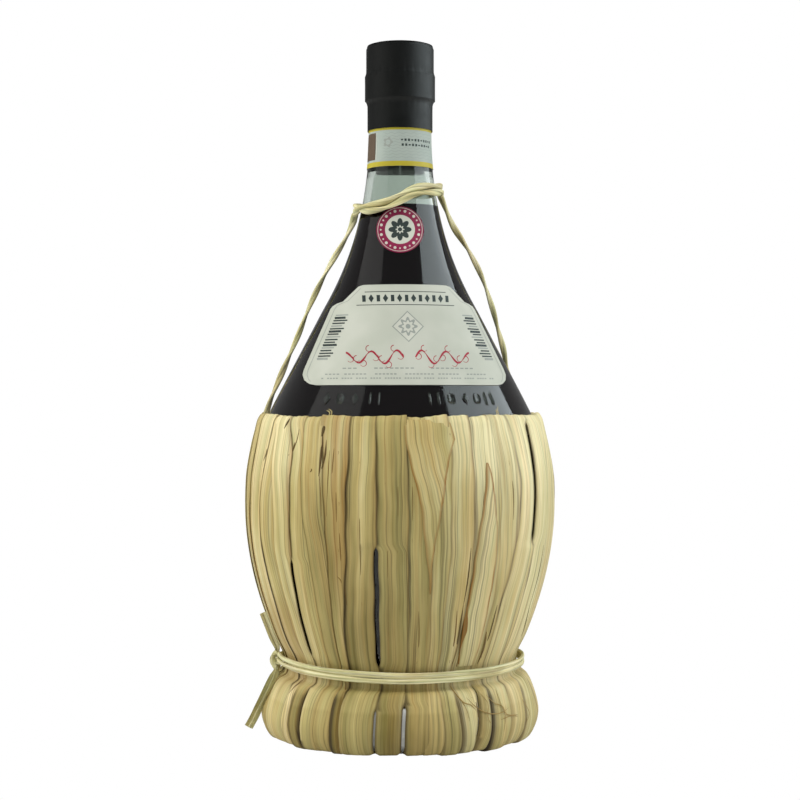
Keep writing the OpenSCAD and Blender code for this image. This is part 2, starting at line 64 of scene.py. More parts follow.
def round_point(r, azimuth, z):
    """A point at radius r and an azimuth in degrees from the front, positive to the right."""
    a = np.radians(azimuth)
    return np.stack(np.broadcast_arrays(r * np.sin(a), FRONT * r * np.cos(a), z), axis=-1)


print("helpers ready: millimetres in, metres out")

# %% [markdown]
# ## The outline that everything follows
# A flask is blown in one bubble, so its side is one smooth line: straight neck,
# flared shoulder, ball. The CAD draws it with three Bezier curves, and repeating the
# same control points here keeps each paper, cord and blade on the glass to a
# hundredth of a millimetre. A table of radii made once is quicker than solving the
# curves again for each point.

# %% The flask's outline
BOTTOM_Z, BELLY_Z, CONE_Z, NECK_Z, LIP_Z = 8.0, 100.0, 181.0, 261.0, 296.9
RING_TOP_Z, RING_LOW_Z, WINE_Z, RIM_Z = 283.7, 273.9, 227.9, 139.0
BOTTOM_R, BELLY_R, CONE_R, NECK_R = 22.0, 65.0, 34.4, 13.3
CONE_ANGLE = math.radians(27.5)
# How far each end of a curve pulls along its own direction
NECK_PULL, CONE_PULL_UP, CONE_PULL_DOWN, BELLY_PULL_UP, BELLY_PULL_DOWN, BOTTOM_PULL = 46, 10, 60, 27, 46, 14
cone_dir = np.array([math.sin(CONE_ANGLE), -math.cos(CONE_ANGLE)])
cone_top, belly = np.array([CONE_R, CONE_Z]), np.array([BELLY_R, BELLY_Z])


def bezier(a, b, c, d, t):
    a, b, c, d = (np.asarray(p, float) for p in (a, b, c, d))
    t = np.asarray(t)[:, None]
    return (1 - t) ** 3 * a + 3 * (1 - t) ** 2 * t * b + 3 * (1 - t) * t * t * c + t ** 3 * d


outline = np.concatenate([
    bezier([NECK_R, NECK_Z], [NECK_R, NECK_Z - NECK_PULL], cone_top - CONE_PULL_UP * cone_dir, cone_top,
           np.linspace(0, 1, 80)[:-1]),
    bezier(cone_top, cone_top + CONE_PULL_DOWN * cone_dir, belly + [0, BELLY_PULL_UP], belly,
           np.linspace(0, 1, 80)[:-1]),
    bezier(belly, belly - [0, BELLY_PULL_DOWN], [BOTTOM_R + BOTTOM_PULL, BOTTOM_Z], [BOTTOM_R, BOTTOM_Z],
           np.linspace(0, 1, 90))])


def glass_r(z):
    return np.interp(z, outline[::-1, 1], outline[::-1, 0])


def glass_normal(z):
    """The outward direction (r, z) of the glass at a height."""
    z = np.asarray(z, float)
    n = np.stack([np.full_like(z, 2.0), glass_r(z - 1) - glass_r(z + 1)], -1)  # over 1 mm up and down
    return n / np.linalg.norm(n, axis=-1, keepdims=True)


def off_glass(z, d):
    """The point (r, z) that stands d mm off the glass, square to it."""
    n = glass_normal(z)
    return np.stack([glass_r(z), np.asarray(z, float)], -1) + np.asarray(d)[..., None] * n


print("widest", outline[:, 0].max(), "mm at", outline[outline[:, 0].argmax(), 1])

# %% [markdown]
# ## Camera
# The photograph is a studio shot from straight in front at half height, with a long
# lens: the horizon runs through the middle of the jacket and the foot shows hardly
# any underside. A camera 0.78 m away with an 81 mm lens gives the same perspective.

# %% Camera
CAMERA_BACK, CAMERA_HEIGHT, LENS_MM, FILM_MM = 0.7776, 0.1445, 81, 36
camera_data = bpy.data.cameras.new("camera")
camera_data.lens, camera_data.sensor_width = LENS_MM, FILM_MM
camera_data.clip_start, camera_data.clip_end = 0.01, 50
camera = bpy.data.objects.new("camera", camera_data)
camera.location = (0, -CAMERA_BACK, CAMERA_HEIGHT)
camera.rotation_euler = (math.pi / 2, 0, 0)
bpy.context.collection.objects.link(camera)
bpy.context.scene.camera = camera
print("camera", tuple(camera.location), "lens", camera_data.lens)

# %% [markdown]
# ## Sweeping a section along a route
# Cords, ties and ribbons are all one idea: a small closed section carried along a
# line. Curves with a bevel can do it, but a leaf cord has two strands that turn
# round each other, and a mesh sweep gives control of that twist, and UVs that
# run with the fibres. The section is given as points in millimetres, the twist as
# the length of one turn.

# %% Routes
def through(points, steps):
    """A smooth route through chosen points (Catmull-Rom), the same as in the CAD source."""
    p = np.asarray(points, float)
    q = np.vstack([p[:1], p, p[-1:]])
    out = []
    for i in range(len(p) - 1):
        a, b, c, d = q[i:i + 4]
        t = np.linspace(0, 1, steps, endpoint=False)[:, None]
        out.append(0.5 * (2 * b + t * (c - a) + t * t * (2 * a - 5 * b + 4 * c - d)
                          + t ** 3 * (3 * b - a - 3 * c + d)))
    return np.vstack(out + [p[-1:]])


def lengths_along(path):
    """The length from the start of a path to each of its points."""
    return np.concatenate([[0], np.cumsum(np.linalg.norm(np.diff(path, axis=0), axis=1))])


def evenly(path, spacing):
    """The same route with its points a fixed distance apart."""
    s = lengths_along(path)
    at = np.linspace(0, s[-1], max(3, int(s[-1] / spacing)) + 1)
    return np.stack([np.interp(at, s, path[:, k]) for k in range(3)], -1)


print("routes: through points, measured and evenly spaced")

# %% Meshes and pieces
def make_mesh(verts_mm, faces, uv=None, attributes=None, sharp=None):
    """A mesh from millimetres; uv is per vertex, attributes are one number per vertex.
    Edges sharper than this angle in degrees stay sharp, the rest is smooth."""
    mesh = bpy.data.meshes.new("piece")
    mesh.from_pydata((np.asarray(verts_mm) * MM).tolist(), [], [list(map(int, f)) for f in faces])
    mesh.polygons.foreach_set("use_smooth", [True] * len(mesh.polygons))
    if uv is not None:
        layer = mesh.uv_layers.new(name="grain_uv")
        corner = np.empty(len(mesh.loops), dtype=np.int64)
        mesh.loops.foreach_get("vertex_index", corner)
        layer.uv.foreach_set("vector", np.asarray(uv, np.float32)[corner].ravel())
    for key, values in (attributes or {}).items():
        layer = mesh.attributes.new(key, "FLOAT", "POINT")
        layer.data.foreach_set("value", np.asarray(values, np.float32).ravel())
    mesh.update()
    if sharp:
        mesh.set_sharp_from_angle(angle=math.radians(sharp))
    return mesh


def add_piece(name, mesh, material, slot, *replaced, body="bottle"):
    """A piece that rides on a body, in the place of these CAD nodes. The slot is not used."""
    mesh.name = name
    piece = bpy.data.objects.new(name, mesh)
    bpy.context.collection.objects.link(piece)
    mesh.materials.append(material)
    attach(piece, body)
    if replaced:
        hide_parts(*replaced)
    return piece


def ring_faces(rows, columns):
    """Quads over a grid of rows by columns that closes round on itself."""
    k, j = np.meshgrid(np.arange(rows - 1), np.arange(columns), indexing="ij")
    a, b = k * columns + j, k * columns + (j + 1) % columns
    return np.stack([a, b, b + columns, a + columns], -1).reshape(-1, 4).tolist()


def end_caps(rings, columns):
    """The two faces that close a stack of rings."""
    return [list(range(columns))[::-1], [(rings - 1) * columns + j for j in range(columns)]]


print("meshes in millimetres, pieces that ride on a body")

# %% Sweeps
def sweep(path, section, pitch=None, start_turn=0.0, scale=None):
    """Vertices, faces and UVs of a closed section of (x, y) carried along a path.
    x points away from the flask's axis and y across it, before the twist."""
    path = np.asarray(path, float)
    s = lengths_along(path)
    tangent = np.gradient(path, axis=0)
    tangent /= np.linalg.norm(tangent, axis=1, keepdims=True)
    away = path * [1, 1, 0]
    away /= np.maximum(np.linalg.norm(away, axis=1, keepdims=True), 1e-9)
    u = away - (away * tangent).sum(1, keepdims=True) * tangent
    u /= np.linalg.norm(u, axis=1, keepdims=True)
    v = np.cross(tangent, u)
    turn = start_turn + (2 * math.pi * s / pitch if pitch else 0 * s)
    size = np.ones(len(path)) if scale is None else np.asarray(scale)
    sec = np.asarray(section, float)
    cos, sin = np.cos(turn)[:, None], np.sin(turn)[:, None]
    x = (sec[None, :, 0] * cos - sec[None, :, 1] * sin) * size[:, None]
    y = (sec[None, :, 0] * sin + sec[None, :, 1] * cos) * size[:, None]
    verts = path[:, None] + x[..., None] * u[:, None] + y[..., None] * v[:, None]
    n, m = len(path), len(sec)
    faces = ring_faces(n, m) + end_caps(n, m)
    round_by = lengths_along(np.vstack([sec, sec[:1]]))[:-1]
    uv = np.stack(np.broadcast_arrays(round_by[None], s[:, None]), -1)
    return verts.reshape(-1, 3), faces, uv.reshape(-1, 2)


print("sweeps carry a section along a route")

# %% [markdown]
# ## Plant fibre, in one shader group
# The jacket, the tie and the cord are leaves of the same marsh plant, dried. A leaf's
# colour runs along it in bands a few millimetres wide, with hair-thin fibres in
# them and slow patches of green, straw and brown. Noise stretched many times over
# along the leaf gives all three. It goes into one node group, so that a material
# only chooses colours and scales. Mapping by UVs in millimetres keeps the bands on
# the leaf however it bends, which object coordinates wouldn't.

# %% Shader nodes
def linear(r, g, b):
    """A colour picked in sRGB, 0 to 255, as the linear numbers that shaders want."""
    c = np.array([r, g, b]) / 255
    c = np.where(c <= 0.04045, c / 12.92, ((c + 0.055) / 1.055) ** 2.4)
    return (*c.tolist(), 1.0)


def node(tree, kind, inputs=None, **settings):
    """Add a node. Each input is a value, or another node's output to link."""
    made = tree.nodes.new("ShaderNode" + kind)
    for key, value in settings.items():
        setattr(made, key, value)
    for key, value in (inputs or {}).items():
        if isinstance(value, bpy.types.NodeSocket):
            tree.links.new(value, made.inputs[key])
        else:
            made.inputs[key].default_value = value
    return made


def place_group(tree, group, inputs):
    return node(tree, "Group", inputs, node_tree=group)


def maths(tree, operation, a, b=0.0, clamp=False):
    return node(tree, "Math", {0: a, 1: b}, operation=operation, use_clamp=clamp).outputs[0]


def ranged(tree, value, low, high, to_low=0.0, to_high=1.0):
    return node(tree, "MapRange", {"Value": value, "From Min": low, "From Max": high,
                                   "To Min": to_low, "To Max": to_high}).outputs["Result"]


def mixed(tree, factor, a, b, way="MIX"):
    """Two colours mixed. A colour Mix node has its colours on inputs 6 and 7."""
    return node(tree, "Mix", {0: factor, 6: a, 7: b}, data_type="RGBA", blend_type=way).outputs[2]


def multiplied(tree, a, b):
    return mixed(tree, 1.0, a, b, "MULTIPLY")


def ramp(tree, value, stops):
    made = node(tree, "ValToRGB", {0: value})
    stop = made.color_ramp.elements
    stop[0].position, stop[0].color = stops[0]
    stop[1].position, stop[1].color = stops[-1]
    for place, colour in stops[1:-1]:
        stop.new(place).color = colour
    return made.outputs["Color"]


def attribute(tree, name):
    return node(tree, "Attribute", attribute_name=name).outputs["Fac"]


print("node helpers ready")

# %% Node groups and materials
def new_group(name, inputs, outputs):
    """A node group with named number sockets; inputs are (name, default), outputs names."""
    group = bpy.data.node_groups.new(name, "ShaderNodeTree")
    for label, value in inputs:
        group.interface.new_socket(label, in_out="INPUT", socket_type="NodeSocketFloat").default_value = value
    for label in outputs:
        group.interface.new_socket(label, in_out="OUTPUT", socket_type="NodeSocketFloat")
    return group, group.nodes.new("NodeGroupInput"), group.nodes.new("NodeGroupOutput")


def new_material(name, **constants):
    """A material with a Principled shader; constants are set on its own sockets."""
    material = bpy.data.materials.new(name)
    material.use_nodes = True
    shader = material.node_tree.nodes["Principled BSDF"]
    for key, value in constants.items():
        shader.inputs[key.replace("_", " ")].default_value = value
    return material, material.node_tree, shader


def bumped(tree, shader, height, distance_mm, strength=1.0):
    bump = node(tree, "Bump", {"Height": height, "Distance": distance_mm * MM, "Strength": strength})
    tree.links.new(bump.outputs["Normal"], shader.inputs["Normal"])


print("group, material and bump helpers ready")

# %% The fibre group
fibre_group, fibre_in, fibre_out = new_group(
    "leaf_fibre", [("Bands per mm", 0.45), ("Fibres per mm", 2.2), ("Run", 0.012)],
    ["Bands", "Fibres", "Patches", "Veins", "Warmth", "Stain", "Height"])


def fibre_noise(across, along, detail, low, high):
    """Noise stretched along the leaf, widened so that it fills 0 to 1."""
    t = fibre_group
    uv = node(t, "UVMap", uv_map="grain_uv").outputs["UV"]
    parts = node(t, "SeparateXYZ", {0: uv})
    place = node(t, "CombineXYZ", {0: maths(t, "MULTIPLY", parts.outputs[0], across),
                                   1: maths(t, "MULTIPLY", parts.outputs[1], along)})
    noise = node(t, "TexNoise", {
        "Vector": place.outputs[0], "Scale": 1.0, "Detail": detail, "Roughness": 0.55})
    return ranged(t, noise.outputs["Fac"], low, high)


def times(socket, k):
    return maths(fibre_group, "MULTIPLY", socket, k)


run, per_mm = fibre_in.outputs["Run"], fibre_in.outputs["Bands per mm"]
fibre_parts = {
    "Bands": fibre_noise(per_mm, run, 5.0, 0.32, 0.68),
    "Fibres": fibre_noise(fibre_in.outputs["Fibres per mm"], times(run, 2.0), 3.0, 0.3, 0.7),
    "Patches": fibre_noise(times(per_mm, 0.22), times(run, 3.0), 3.0, 0.32, 0.68),
    "Veins": fibre_noise(times(per_mm, 3.1), times(run, 0.8), 2.0, 0.57, 0.63),
    "Warmth": fibre_noise(times(per_mm, 0.7), times(run, 1.2), 3.0, 0.38, 0.62),
    "Stain": fibre_noise(times(per_mm, 1.6), times(run, 1.6), 3.0, 0.6, 0.72)}
fibre_parts["Height"] = maths(
    fibre_group, "ADD", times(fibre_parts["Bands"], 0.5), times(fibre_parts["Fibres"], 0.5))
for label, value in fibre_parts.items():
    fibre_group.links.new(value, fibre_out.inputs[label])
print("leaf_fibre gives", list(fibre_parts))

# %% Leaf materials
# painted shade: the dark brown in which the seams' shade is painted
SEAM_SHADE_BROWN = linear(50, 37, 17)
COOLER, WARMER = (0.94, 1.0, 0.97, 1), (1.04, 0.985, 0.92, 1)  # tints over the leaf's colour


def leaf_material(name, deep, mid, pale, brown, group_values, bump_mm):
    """Dried leaf. The mesh gives tone (0 olive, 1 cream), shade (painted shade along the seams, in folds and
    in streaks) and rust (brown edges, in places painted shade beside a seam).
    """
    material, t, shader = new_material(name, Specular_IOR_Level=0.3)
    grain = place_group(t, fibre_group, group_values).outputs
    # From olive to cream: mostly the leaf's own tone, then its bands, then its slow patches
    look = maths(t, "MULTIPLY", grain["Bands"], 0.34)
    look = maths(t, "ADD", look, maths(t, "MULTIPLY", grain["Patches"], 0.2))
    look = maths(t, "ADD", look, maths(t, "MULTIPLY", attribute(t, "tone"), 0.8))
    look = maths(t, "SUBTRACT", look, 0.2)
    colour = ramp(t, look, [(0.0, deep), (0.5, mid), (1.0, pale)])
    colour = multiplied(t, colour, mixed(t, grain["Warmth"], COOLER, WARMER))
    colour = multiplied(t, colour, ranged(t, grain["Fibres"], 0.1, 0.6, 0.74, 1.0))
    colour = mixed(t, maths(t, "MULTIPLY", grain["Stain"], 0.4), colour, brown)
    colour = multiplied(t, colour, ranged(t, grain["Veins"], 0, 1, 1.0, 0.6))
    # Rust and the painted seam shade are broken up by the fibres
    for mark, least, most, paint in (("rust", 0.6, 1.2, brown), ("shade", 0.72, 1.05, SEAM_SHADE_BROWN)):
        strength = attribute(t, mark)
        patchy = ranged(t, grain["Fibres"], 0.2, 0.8, least, most)
        colour = mixed(t, maths(t, "MULTIPLY", strength, patchy, clamp=True), colour, paint)
    t.links.new(colour, shader.inputs["Base Color"])
    t.links.new(ranged(t, grain["Bands"], 0, 1, 0.7, 0.54), shader.inputs["Roughness"])
    bumped(t, shader, grain["Height"], bump_mm)
    return material


straw = leaf_material(
    "dried straw",
    linear(122, 107, 54), linear(182, 165, 108), linear(226, 214, 168), linear(136, 92, 26),
    {"Bands per mm": 0.32, "Fibres per mm": 1.6, "Run": 0.008}, bump_mm=0.1)
cord_leaf = leaf_material(
    "twisted leaf cord",
    linear(150, 142, 88), linear(206, 200, 150), linear(236, 231, 196), linear(150, 116, 66),
    {"Bands per mm": 0.8, "Fibres per mm": 3.0, "Run": 0.03}, bump_mm=0.08)
print("leaf materials:", straw.name, "and", cord_leaf.name)

# %% [markdown]
# ## Carry cord
# The real cord is a leaf folded and twisted on itself: it goes one and a half times
# round the neck, crosses over itself at the left, and runs down to the rim on both
# sides. It is one length, held at both ends, so it is one piece here, a sweep
# through the CAD's route with a two-strand section that turns as it goes.

# %% The cord's route
CORD_D, CORD_PITCH = 2.3, 2.8
LOOP_Z, LOOP_TILT, CLIMB = CONE_Z + 49.9, 4.32, 2.4  # height of the loop, its rise to the right, how sharply
CROSS_FROM, CROSS_OVER = -84, 52  # the two turns change places from this azimuth, over so many degrees
LOOP_GAP = 1.35  # from the glass to the cord's own surface
rim_top, half_pitch = RIM_Z + 0.8, CORD_PITCH / 2


def loop_level(a):
    """The loop lies low on the left, climbs over the front and lies high on the right."""
    s, c = math.sin(math.radians(a)), math.cos(math.radians(a))
    climb = math.tanh(CLIMB * s) / math.tanh(CLIMB) if c > 0 else s
    return LOOP_Z + LOOP_TILT * climb - CORD_D * 0.52 * max(c, -0.4)


def loop_at(a):
    """A point of the pair of turns. They cross at the left, the turn from the left leg outside."""
    first = a < 270
    here = a if first else a - 360
    swap = math.pi * (1 - float(smooth_step((here - CROSS_FROM) / CROSS_OVER))) if here < 90 else 0.0
    swap = swap if first else math.pi - swap
    z = loop_level(a) + half_pitch * math.cos(swap)
    out = 0.9 if first and here < 60 else -0.1
    return round_point(glass_r(z - 0.8) + LOOP_GAP + CORD_D / 2 + out * math.sin(swap), a, z)


def leg(start, shares):
    """A leg from the loop: (share of the way up from the rim, azimuth, stand-off in diameters)."""
    points = list(start)
    for share, azimuth, off in shares:
        z = blend_between(rim_top, start[0][2], share)
        points.append(round_point(glass_r(z) + off * CORD_D, azimuth, z))
    return through(points, 8)


loop_path = through([loop_at(a) for a in np.linspace(-82, 436, 60)], 4)
left_leg = leg([[-19.3, 1.6, loop_level(-90) - half_pitch + 0.2], [-19.9, 2.4, loop_level(-90) - 3.2]], [
    (0.946, -101, 1.36), (0.865, -98.1, 1.88), (0.769, -94.8, 2.72), (0.678, -92.4, 3.15),
    (0.539, -90.6, 3.02), (0.396, -90, 2.28), (0.264, -90, 1.8), (0.146, -90, 1.37),
    (0.062, -90, 1.05), (0, -90, 0.66), (-0.018, -90, 0.5)])
right_leg = leg([[17.3, 1.6, loop_level(90) - half_pitch - 0.5], [17.9, 3.2, loop_level(90) - 3.2]], [
    (0.9, 103, 2.0), (0.85, 102.4, 2.5), (0.79, 101.5, 3.4), (0.725, 101.1, 4.16),
    (0.628, 101.9, 4.69), (0.488, 104.6, 4.17), (0.387, 106.9, 3.39), (0.296, 109.4, 2.9),
    (0.216, 112, 2.29), (0.125, 113.7, 1.66), (0.053, 114.6, 1.19), (0, 115, 0.66), (-0.018, 115, 0.5)])
cord_path = evenly(np.vstack([left_leg[::-1], loop_path, right_leg]), 0.8)

# %% The cord
def two_strand_section(radius, waist, points):
    """The peanut outline of two strands that touch; the waist between them is a share of the radius."""
    a = np.linspace(0, 2 * math.pi, points, endpoint=False)
    r = radius * (waist + (1 - waist) * np.abs(np.cos(a)) ** 0.8)
    return np.stack([r * np.cos(a), r * np.sin(a)], -1)


along = lengths_along(cord_path)
by_neck = smooth_step((cord_path[:, 2] - LOOP_Z + 21.7) / 18)
uneven = 0.08 * np.sin(along / 9) * np.sin(along / 23)
flattened = two_strand_section(CORD_D / 2, 0.7, 24) * [1.14, 0.82]
verts, faces, uv = sweep(cord_path, flattened, pitch=37, scale=1 + 0.16 * by_neck + uneven)
around_share, run_by = uv[:, 0] / uv[:, 0].max(), uv[:, 1]
cord_mesh = make_mesh(verts, faces, uv, {
    "tone": 0.62 + 0.22 * np.sin(run_by * 0.09 + 6.28 * around_share) + 0.12 * np.sin(run_by * 0.31),
    "shade": 0.45 * smooth_step(1 - np.abs(np.cos(2 * math.pi * around_share)) * 3.2),  # painted shade in the groove between the strands
    "rust": 0.3 * smooth_step(np.sin(run_by * 0.043 + 1.1) * 3 - 2)})
carry_cord = add_piece("carry_cord", cord_mesh, cord_leaf, "cord",
                       "cord_leg_left", "cord_neck_loop", "cord_leg_right")
print("cord piece:", len(cord_mesh.polygons), "faces")

# %% [markdown]
# ## The straw jacket
# A fiasco is dressed by hand: wide leaves are folded over a hoop at the rim, laid
# side by side down the ball, tied in at the waist and bent under the base ring.
# Each leaf lies a little over the next. They could be one shell with a bump map, but
# the photograph shows real steps, slits with dark glass behind them, and pleats that
# stand apart below the tie, so each leaf is a thin closed sheet of its own, laid
# through the same stations as its CAD blade.

# %% Stations down a leaf
BLADE_T, BLADE_GAP, JACKET_GAP, OVERLAP, HOOP_D = 0.7, 0.2, 0.4, 1.3, 1.0
TIE_Z, TIE_D, TIE_PITCH, TIE_GAP, KNOT_AZ = 33.6, 2.2, 2.65, 0.3, -80.0
BASE_H, BASE_TOP_R, BASE_R, FOOT_R, RECESS_H = 20.6, 55.7, 57.6, 42.5, 3.0
ROWS_EACH = 5  # rows of a leaf between two stations
SHINGLE = BLADE_T + BLADE_GAP
jacket_t = SHINGLE + BLADE_T
hoop_z = RIM_Z - jacket_t - BLADE_GAP - HOOP_D / 2
hoop_r = off_glass(hoop_z, JACKET_GAP + BLADE_T + BLADE_GAP + HOOP_D / 2)[0]
fold_r = (HOOP_D / 2 + BLADE_GAP * 0.8) / math.cos(math.radians(35))
rim_swell = BLADE_T + 2 * BLADE_GAP + HOOP_D
tie_half = TIE_PITCH + TIE_D / 2 + TIE_GAP
low_tie, high_tie = TIE_Z - tie_half, TIE_Z + tie_half
waist_r = glass_r(high_tie) + JACKET_GAP
tie_r = waist_r + jacket_t + TIE_GAP + TIE_D / 2
base_r = BASE_R + JACKET_GAP


def station(r, z, slope, share=1.0):
    """r, z, the outward direction at a slope in degrees, and the share of the shingle step."""
    a = math.radians(slope)
    return [r, z, math.cos(a), math.sin(a), share]


def folded_over(a, share):
    """A station on the fold round the hoop, at an angle from straight out."""
    n = np.array([math.cos(math.radians(a)), math.sin(math.radians(a))])
    return station(*(np.array([hoop_r, hoop_z]) + fold_r * n), a, share)


def on_glass(z):
    """A station on the ball, which swells out over the hoop near the rim."""
    swell = rim_swell * float(smooth_step((z - RIM_Z + 17) / 14))
    return [*off_glass(z, JACKET_GAP + swell), *glass_normal(z), 1.0]


stations = [[*off_glass(hoop_z - 7, JACKET_GAP + BLADE_T), *(-glass_normal(hoop_z - 7)), 0.0]]
stations += [folded_over(a, share) for a, share in ((165, 0), (125, 0.5), (85, 1), (55, 1), (25, 1))]
stations += [on_glass(z) for z in np.linspace(RIM_Z - 5.5, high_tie + 8, 14)]
stations += [
    station(waist_r, high_tie, 0), station(waist_r - 0.5, TIE_Z, 0), station(waist_r - 0.3, low_tie, -4),
    station(blend_between(waist_r, BASE_TOP_R, 0.62), blend_between(low_tie, BASE_H, 0.36), 38),
    station(BASE_TOP_R + 0.25, BASE_H + 0.45, 30), station(base_r - 0.1, BASE_H * 0.68, 8),
    station(base_r, BASE_H * 0.46, -4), station(base_r - 1.5, RECESS_H + 1.9, -32),
    station(base_r - 4.4, RECESS_H - JACKET_GAP, -80), station(FOOT_R + 1.6, RECESS_H - JACKET_GAP, -90)]
rows = through(stations, ROWS_EACH)
rows[:, 2:4] /= np.linalg.norm(rows[:, 2:4], axis=1, keepdims=True)
run_mm = lengths_along(rows[:, :2])
outer_rows = rows[5 * ROWS_EACH:]  # from the fold's outside down: there a height names one place
print(len(rows), "rows, leaf", round(run_mm[-1], 1), "mm long")

# %% Leaf edges
shares = [7.1, 8.1, 8.3, 11.6, 11.3, 8.4, 6.8, 8.2, 11.5, 7.3, 12.6, 12.3, 11, 12, 11, 12.5, 10.5,
          12, 11.5, 11, 12.5, 10.5, 12, 11.5, 11, 12.5, 11, 12, 10.5, 12.5, 11, 12, 7, 9.4]
LEAVES = len(shares)
edge_start = -44 + 360 * np.concatenate([[0], np.cumsum(shares)]) / sum(shares)
LEVELS = [3, 12, 22, 31, 41, 64, 84, 101.5, 114, 126, 137]
# Where the edges on the seen side run, in degrees at each level from the foot to the rim
measured_edges = {
    -2: [-57.7, -54, -56, -58.5, -61.1, -60.4, -62.4, -61.6, -60.2, -58.9, -58.9],
    -1: [-51.5, -51.5, -52, -51, -51, -51.6, -52.8, -52.2, -54.1, -55.2, -56.1],
    0: [-46, -44.6, -44.8, -44.1, -44.6, -43.6, -43.5, -42.8, -42.9, -43.6, -48.8],
    1: [-37.5, -37, -36.5, -36, -35.1, -34.5, -35.4, -37.3, -38.1, -39, -39.7],
    2: [-30.1, -28.4, -28.9, -28.8, -29.1, -27.8, -27.5, -27.8, -28.8, -30.1, -31.2],
    3: [-25.4, -25.4, -25.3, -24.9, -24.9, -21.9, -19.8, -19.4, -19.2, -19.2, -19.9],
    4: [-10.5, -10.3, -10, -9.5, -9.6, -8.8, -8.5, -8.3, -8.9, -9.3, -9.6],
    5: [0.8, 1.2, 1.7, 2.2, 2.4, 2.8, 2.5, 2.2, 2.1, 2.1, 2.0],
    6: [10.8, 11, 11.2, 11.4, 11.8, 11.1, 11, 11, 10.5, 10.3, 9.4],
    7: [17.6, 17, 16.5, 16.5, 17, 17, 17.5, 17.3, 17.8, 18.3, 17.5],
    8: [25.2, 24.7, 24.1, 23.1, 23.7, 25.6, 26, 26.1, 26.2, 26.3, 26.3],
    9: [31.7, 32.4, 34.6, 35.3, 36.9, 37.7, 37.3, 37.6, 37.1, 36.5, 36],
    10: [38.6, 39, 40.1, 41.2, 40.9, 42, 44.6, 47.1, 47.3, 45.8, 44.6],
    11: [49, 50, 52, 53, 55, 54.8, 56.2, 57.3, 57.8, 58.1, 58.4],
    12: [59.8, 61.6, 64.2, 66.7, 70, 67.4, 67.4, 67.7, 67.6, 71.3, 73.7]}


def edge_azimuth(b, z):
    """Azimuth of the line between leaf b - 1 and leaf b at each height."""
    turn = 360.0 * (b // LEAVES)
    b = b % LEAVES
    if b >= LEAVES - 2:
        b, turn = b - LEAVES, turn + 360.0
    if b in measured_edges:
        near, sway = sum(np.interp(z + d, LEVELS, measured_edges[b]) for d in (-5, -2.5, 0, 2.5, 5)) / 5, 0.0
    else:
        near, sway = np.full_like(z, edge_start[b]), 1.1
    rng = np.random.default_rng(500 + b)
    a, c, p, q = rng.uniform(0.5, 1), rng.uniform(0.5, 1), *rng.uniform(0, 6.28, 2)
    wander = sway * a * np.sin(z / 31 + p) + 0.22 * c * np.sin(z / 7.3 + q) + 0.1 * np.sin(z / 2.9 + p)
    return near + turn + wander


print(LEAVES, "leaves,", len(measured_edges), "edges placed by measure")

# %% Slits
# Slits where the glass shows through: edge number, lowest and highest z, width
SLITS = [(0, 42, 78, 1.6), (0, 6, 26, 0.3), (4, 40, 84, 1.9), (4, 3, 19, 0.8), (5, 3, 21, 1.3),
         (9, 8, 28, 0.5), (11, 88, 133, 2.3)]


def slit_width(b, z):
    """Gap between two leaves; below zero they overlap by that much."""
    width = np.full_like(z, -OVERLAP)
    for edge, low, high, wide in SLITS:
        if edge == b % LEAVES:
            opening = smooth_step((z - low + 5) / 7) * smooth_step((high + 4 - z) / 4)
            width = np.maximum(width, blend_between(-OVERLAP, wide, opening))
    return width


print(len(SLITS), "slits")

# %% Leaf tones, seams and stains
# Tone: 0 is olive, 1 is cream. The seen leaves have their own, the rest draw theirs.
leaf_tones = {-3: 0.7, -2: 0.68, -1: 0.7, 0: 0.56, 1: 0.3, 2: 0.34, 3: 0.32, 4: 0.18, 5: 0.28,
              6: 0.52, 7: 0.68, 8: 0.74, 9: 0.78, 10: 0.84, 11: 0.88, 12: 0.7, 13: 0.7}
# What is added to it below the tie: partly the leaves' own tone, partly painted shade on pleats that turn
# away from the light
foot_tones_and_shade = {-3: 0.0, -2: 0.1, -1: -0.55, 0: 0.0, 1: 0.05, 2: -0.5, 3: 0.05, 4: 0.05, 5: 0.12, 6: -0.05,
              7: -0.4, 8: 0.0, 9: -0.4, 10: -0.2, 11: -0.2}
# How deep the seam is, and how much painted shade lies along it, at each edge on the seen side, above the tie
# and below it
seam_depth = {-3: 0.1, -2: 0.3, -1: 0.0, 0: 0.6, 1: 0.15, 2: 0.4, 3: 1.0, 4: 0.95, 5: 0.75, 6: 0.3,
              7: 0.6, 8: 0.85, 9: 0.5, 10: 0.95, 11: 0.9, 12: 0.6}
foot_creases = {-3: 0.1, -2: 0.1, -1: 0.6, 0: 1.0, 1: 0.0, 2: 0.95, 3: 0.3, 4: 0.75, 5: 0.9, 6: 0.08,
                7: 0.4, 8: 0.85, 9: 0.6, 10: 1.0, 11: 0.35, 12: 0.7}
# Brown along the right side of the leaf before an edge, partly stain that has crept in and partly painted
# shade beside the seam: strength, width in mm
edge_stains_and_shade = {-1: (0.3, 1.2), 0: (0.5, 2.0), 2: (0.35, 1.2), 3: (0.6, 2.8), 4: (0.35, 1.4), 5: (0.25, 1.0),
               7: (0.25, 1.0), 8: (0.35, 1.4), 10: (0.4, 2.0), 11: (0.2, 1.0)}


print("tones from", min(leaf_tones.values()), "to", max(leaf_tones.values()))

# %% Leaf relief
RIM_DROOP, WAIST_DROOP = 0.7, 1.9  # how much lower both hang in front, in mm


def seen_number(i):
    """Leaves 0 to 33, counted from -3 so that the ones left of the first are negative."""
    i = i % LEAVES
    return i if i < LEAVES - 3 else i - LEAVES


def below_tie(z):
    """1 below the tie, where the leaves are pleats, and 0 above it."""
    return smooth_step((30 - z) / 8)


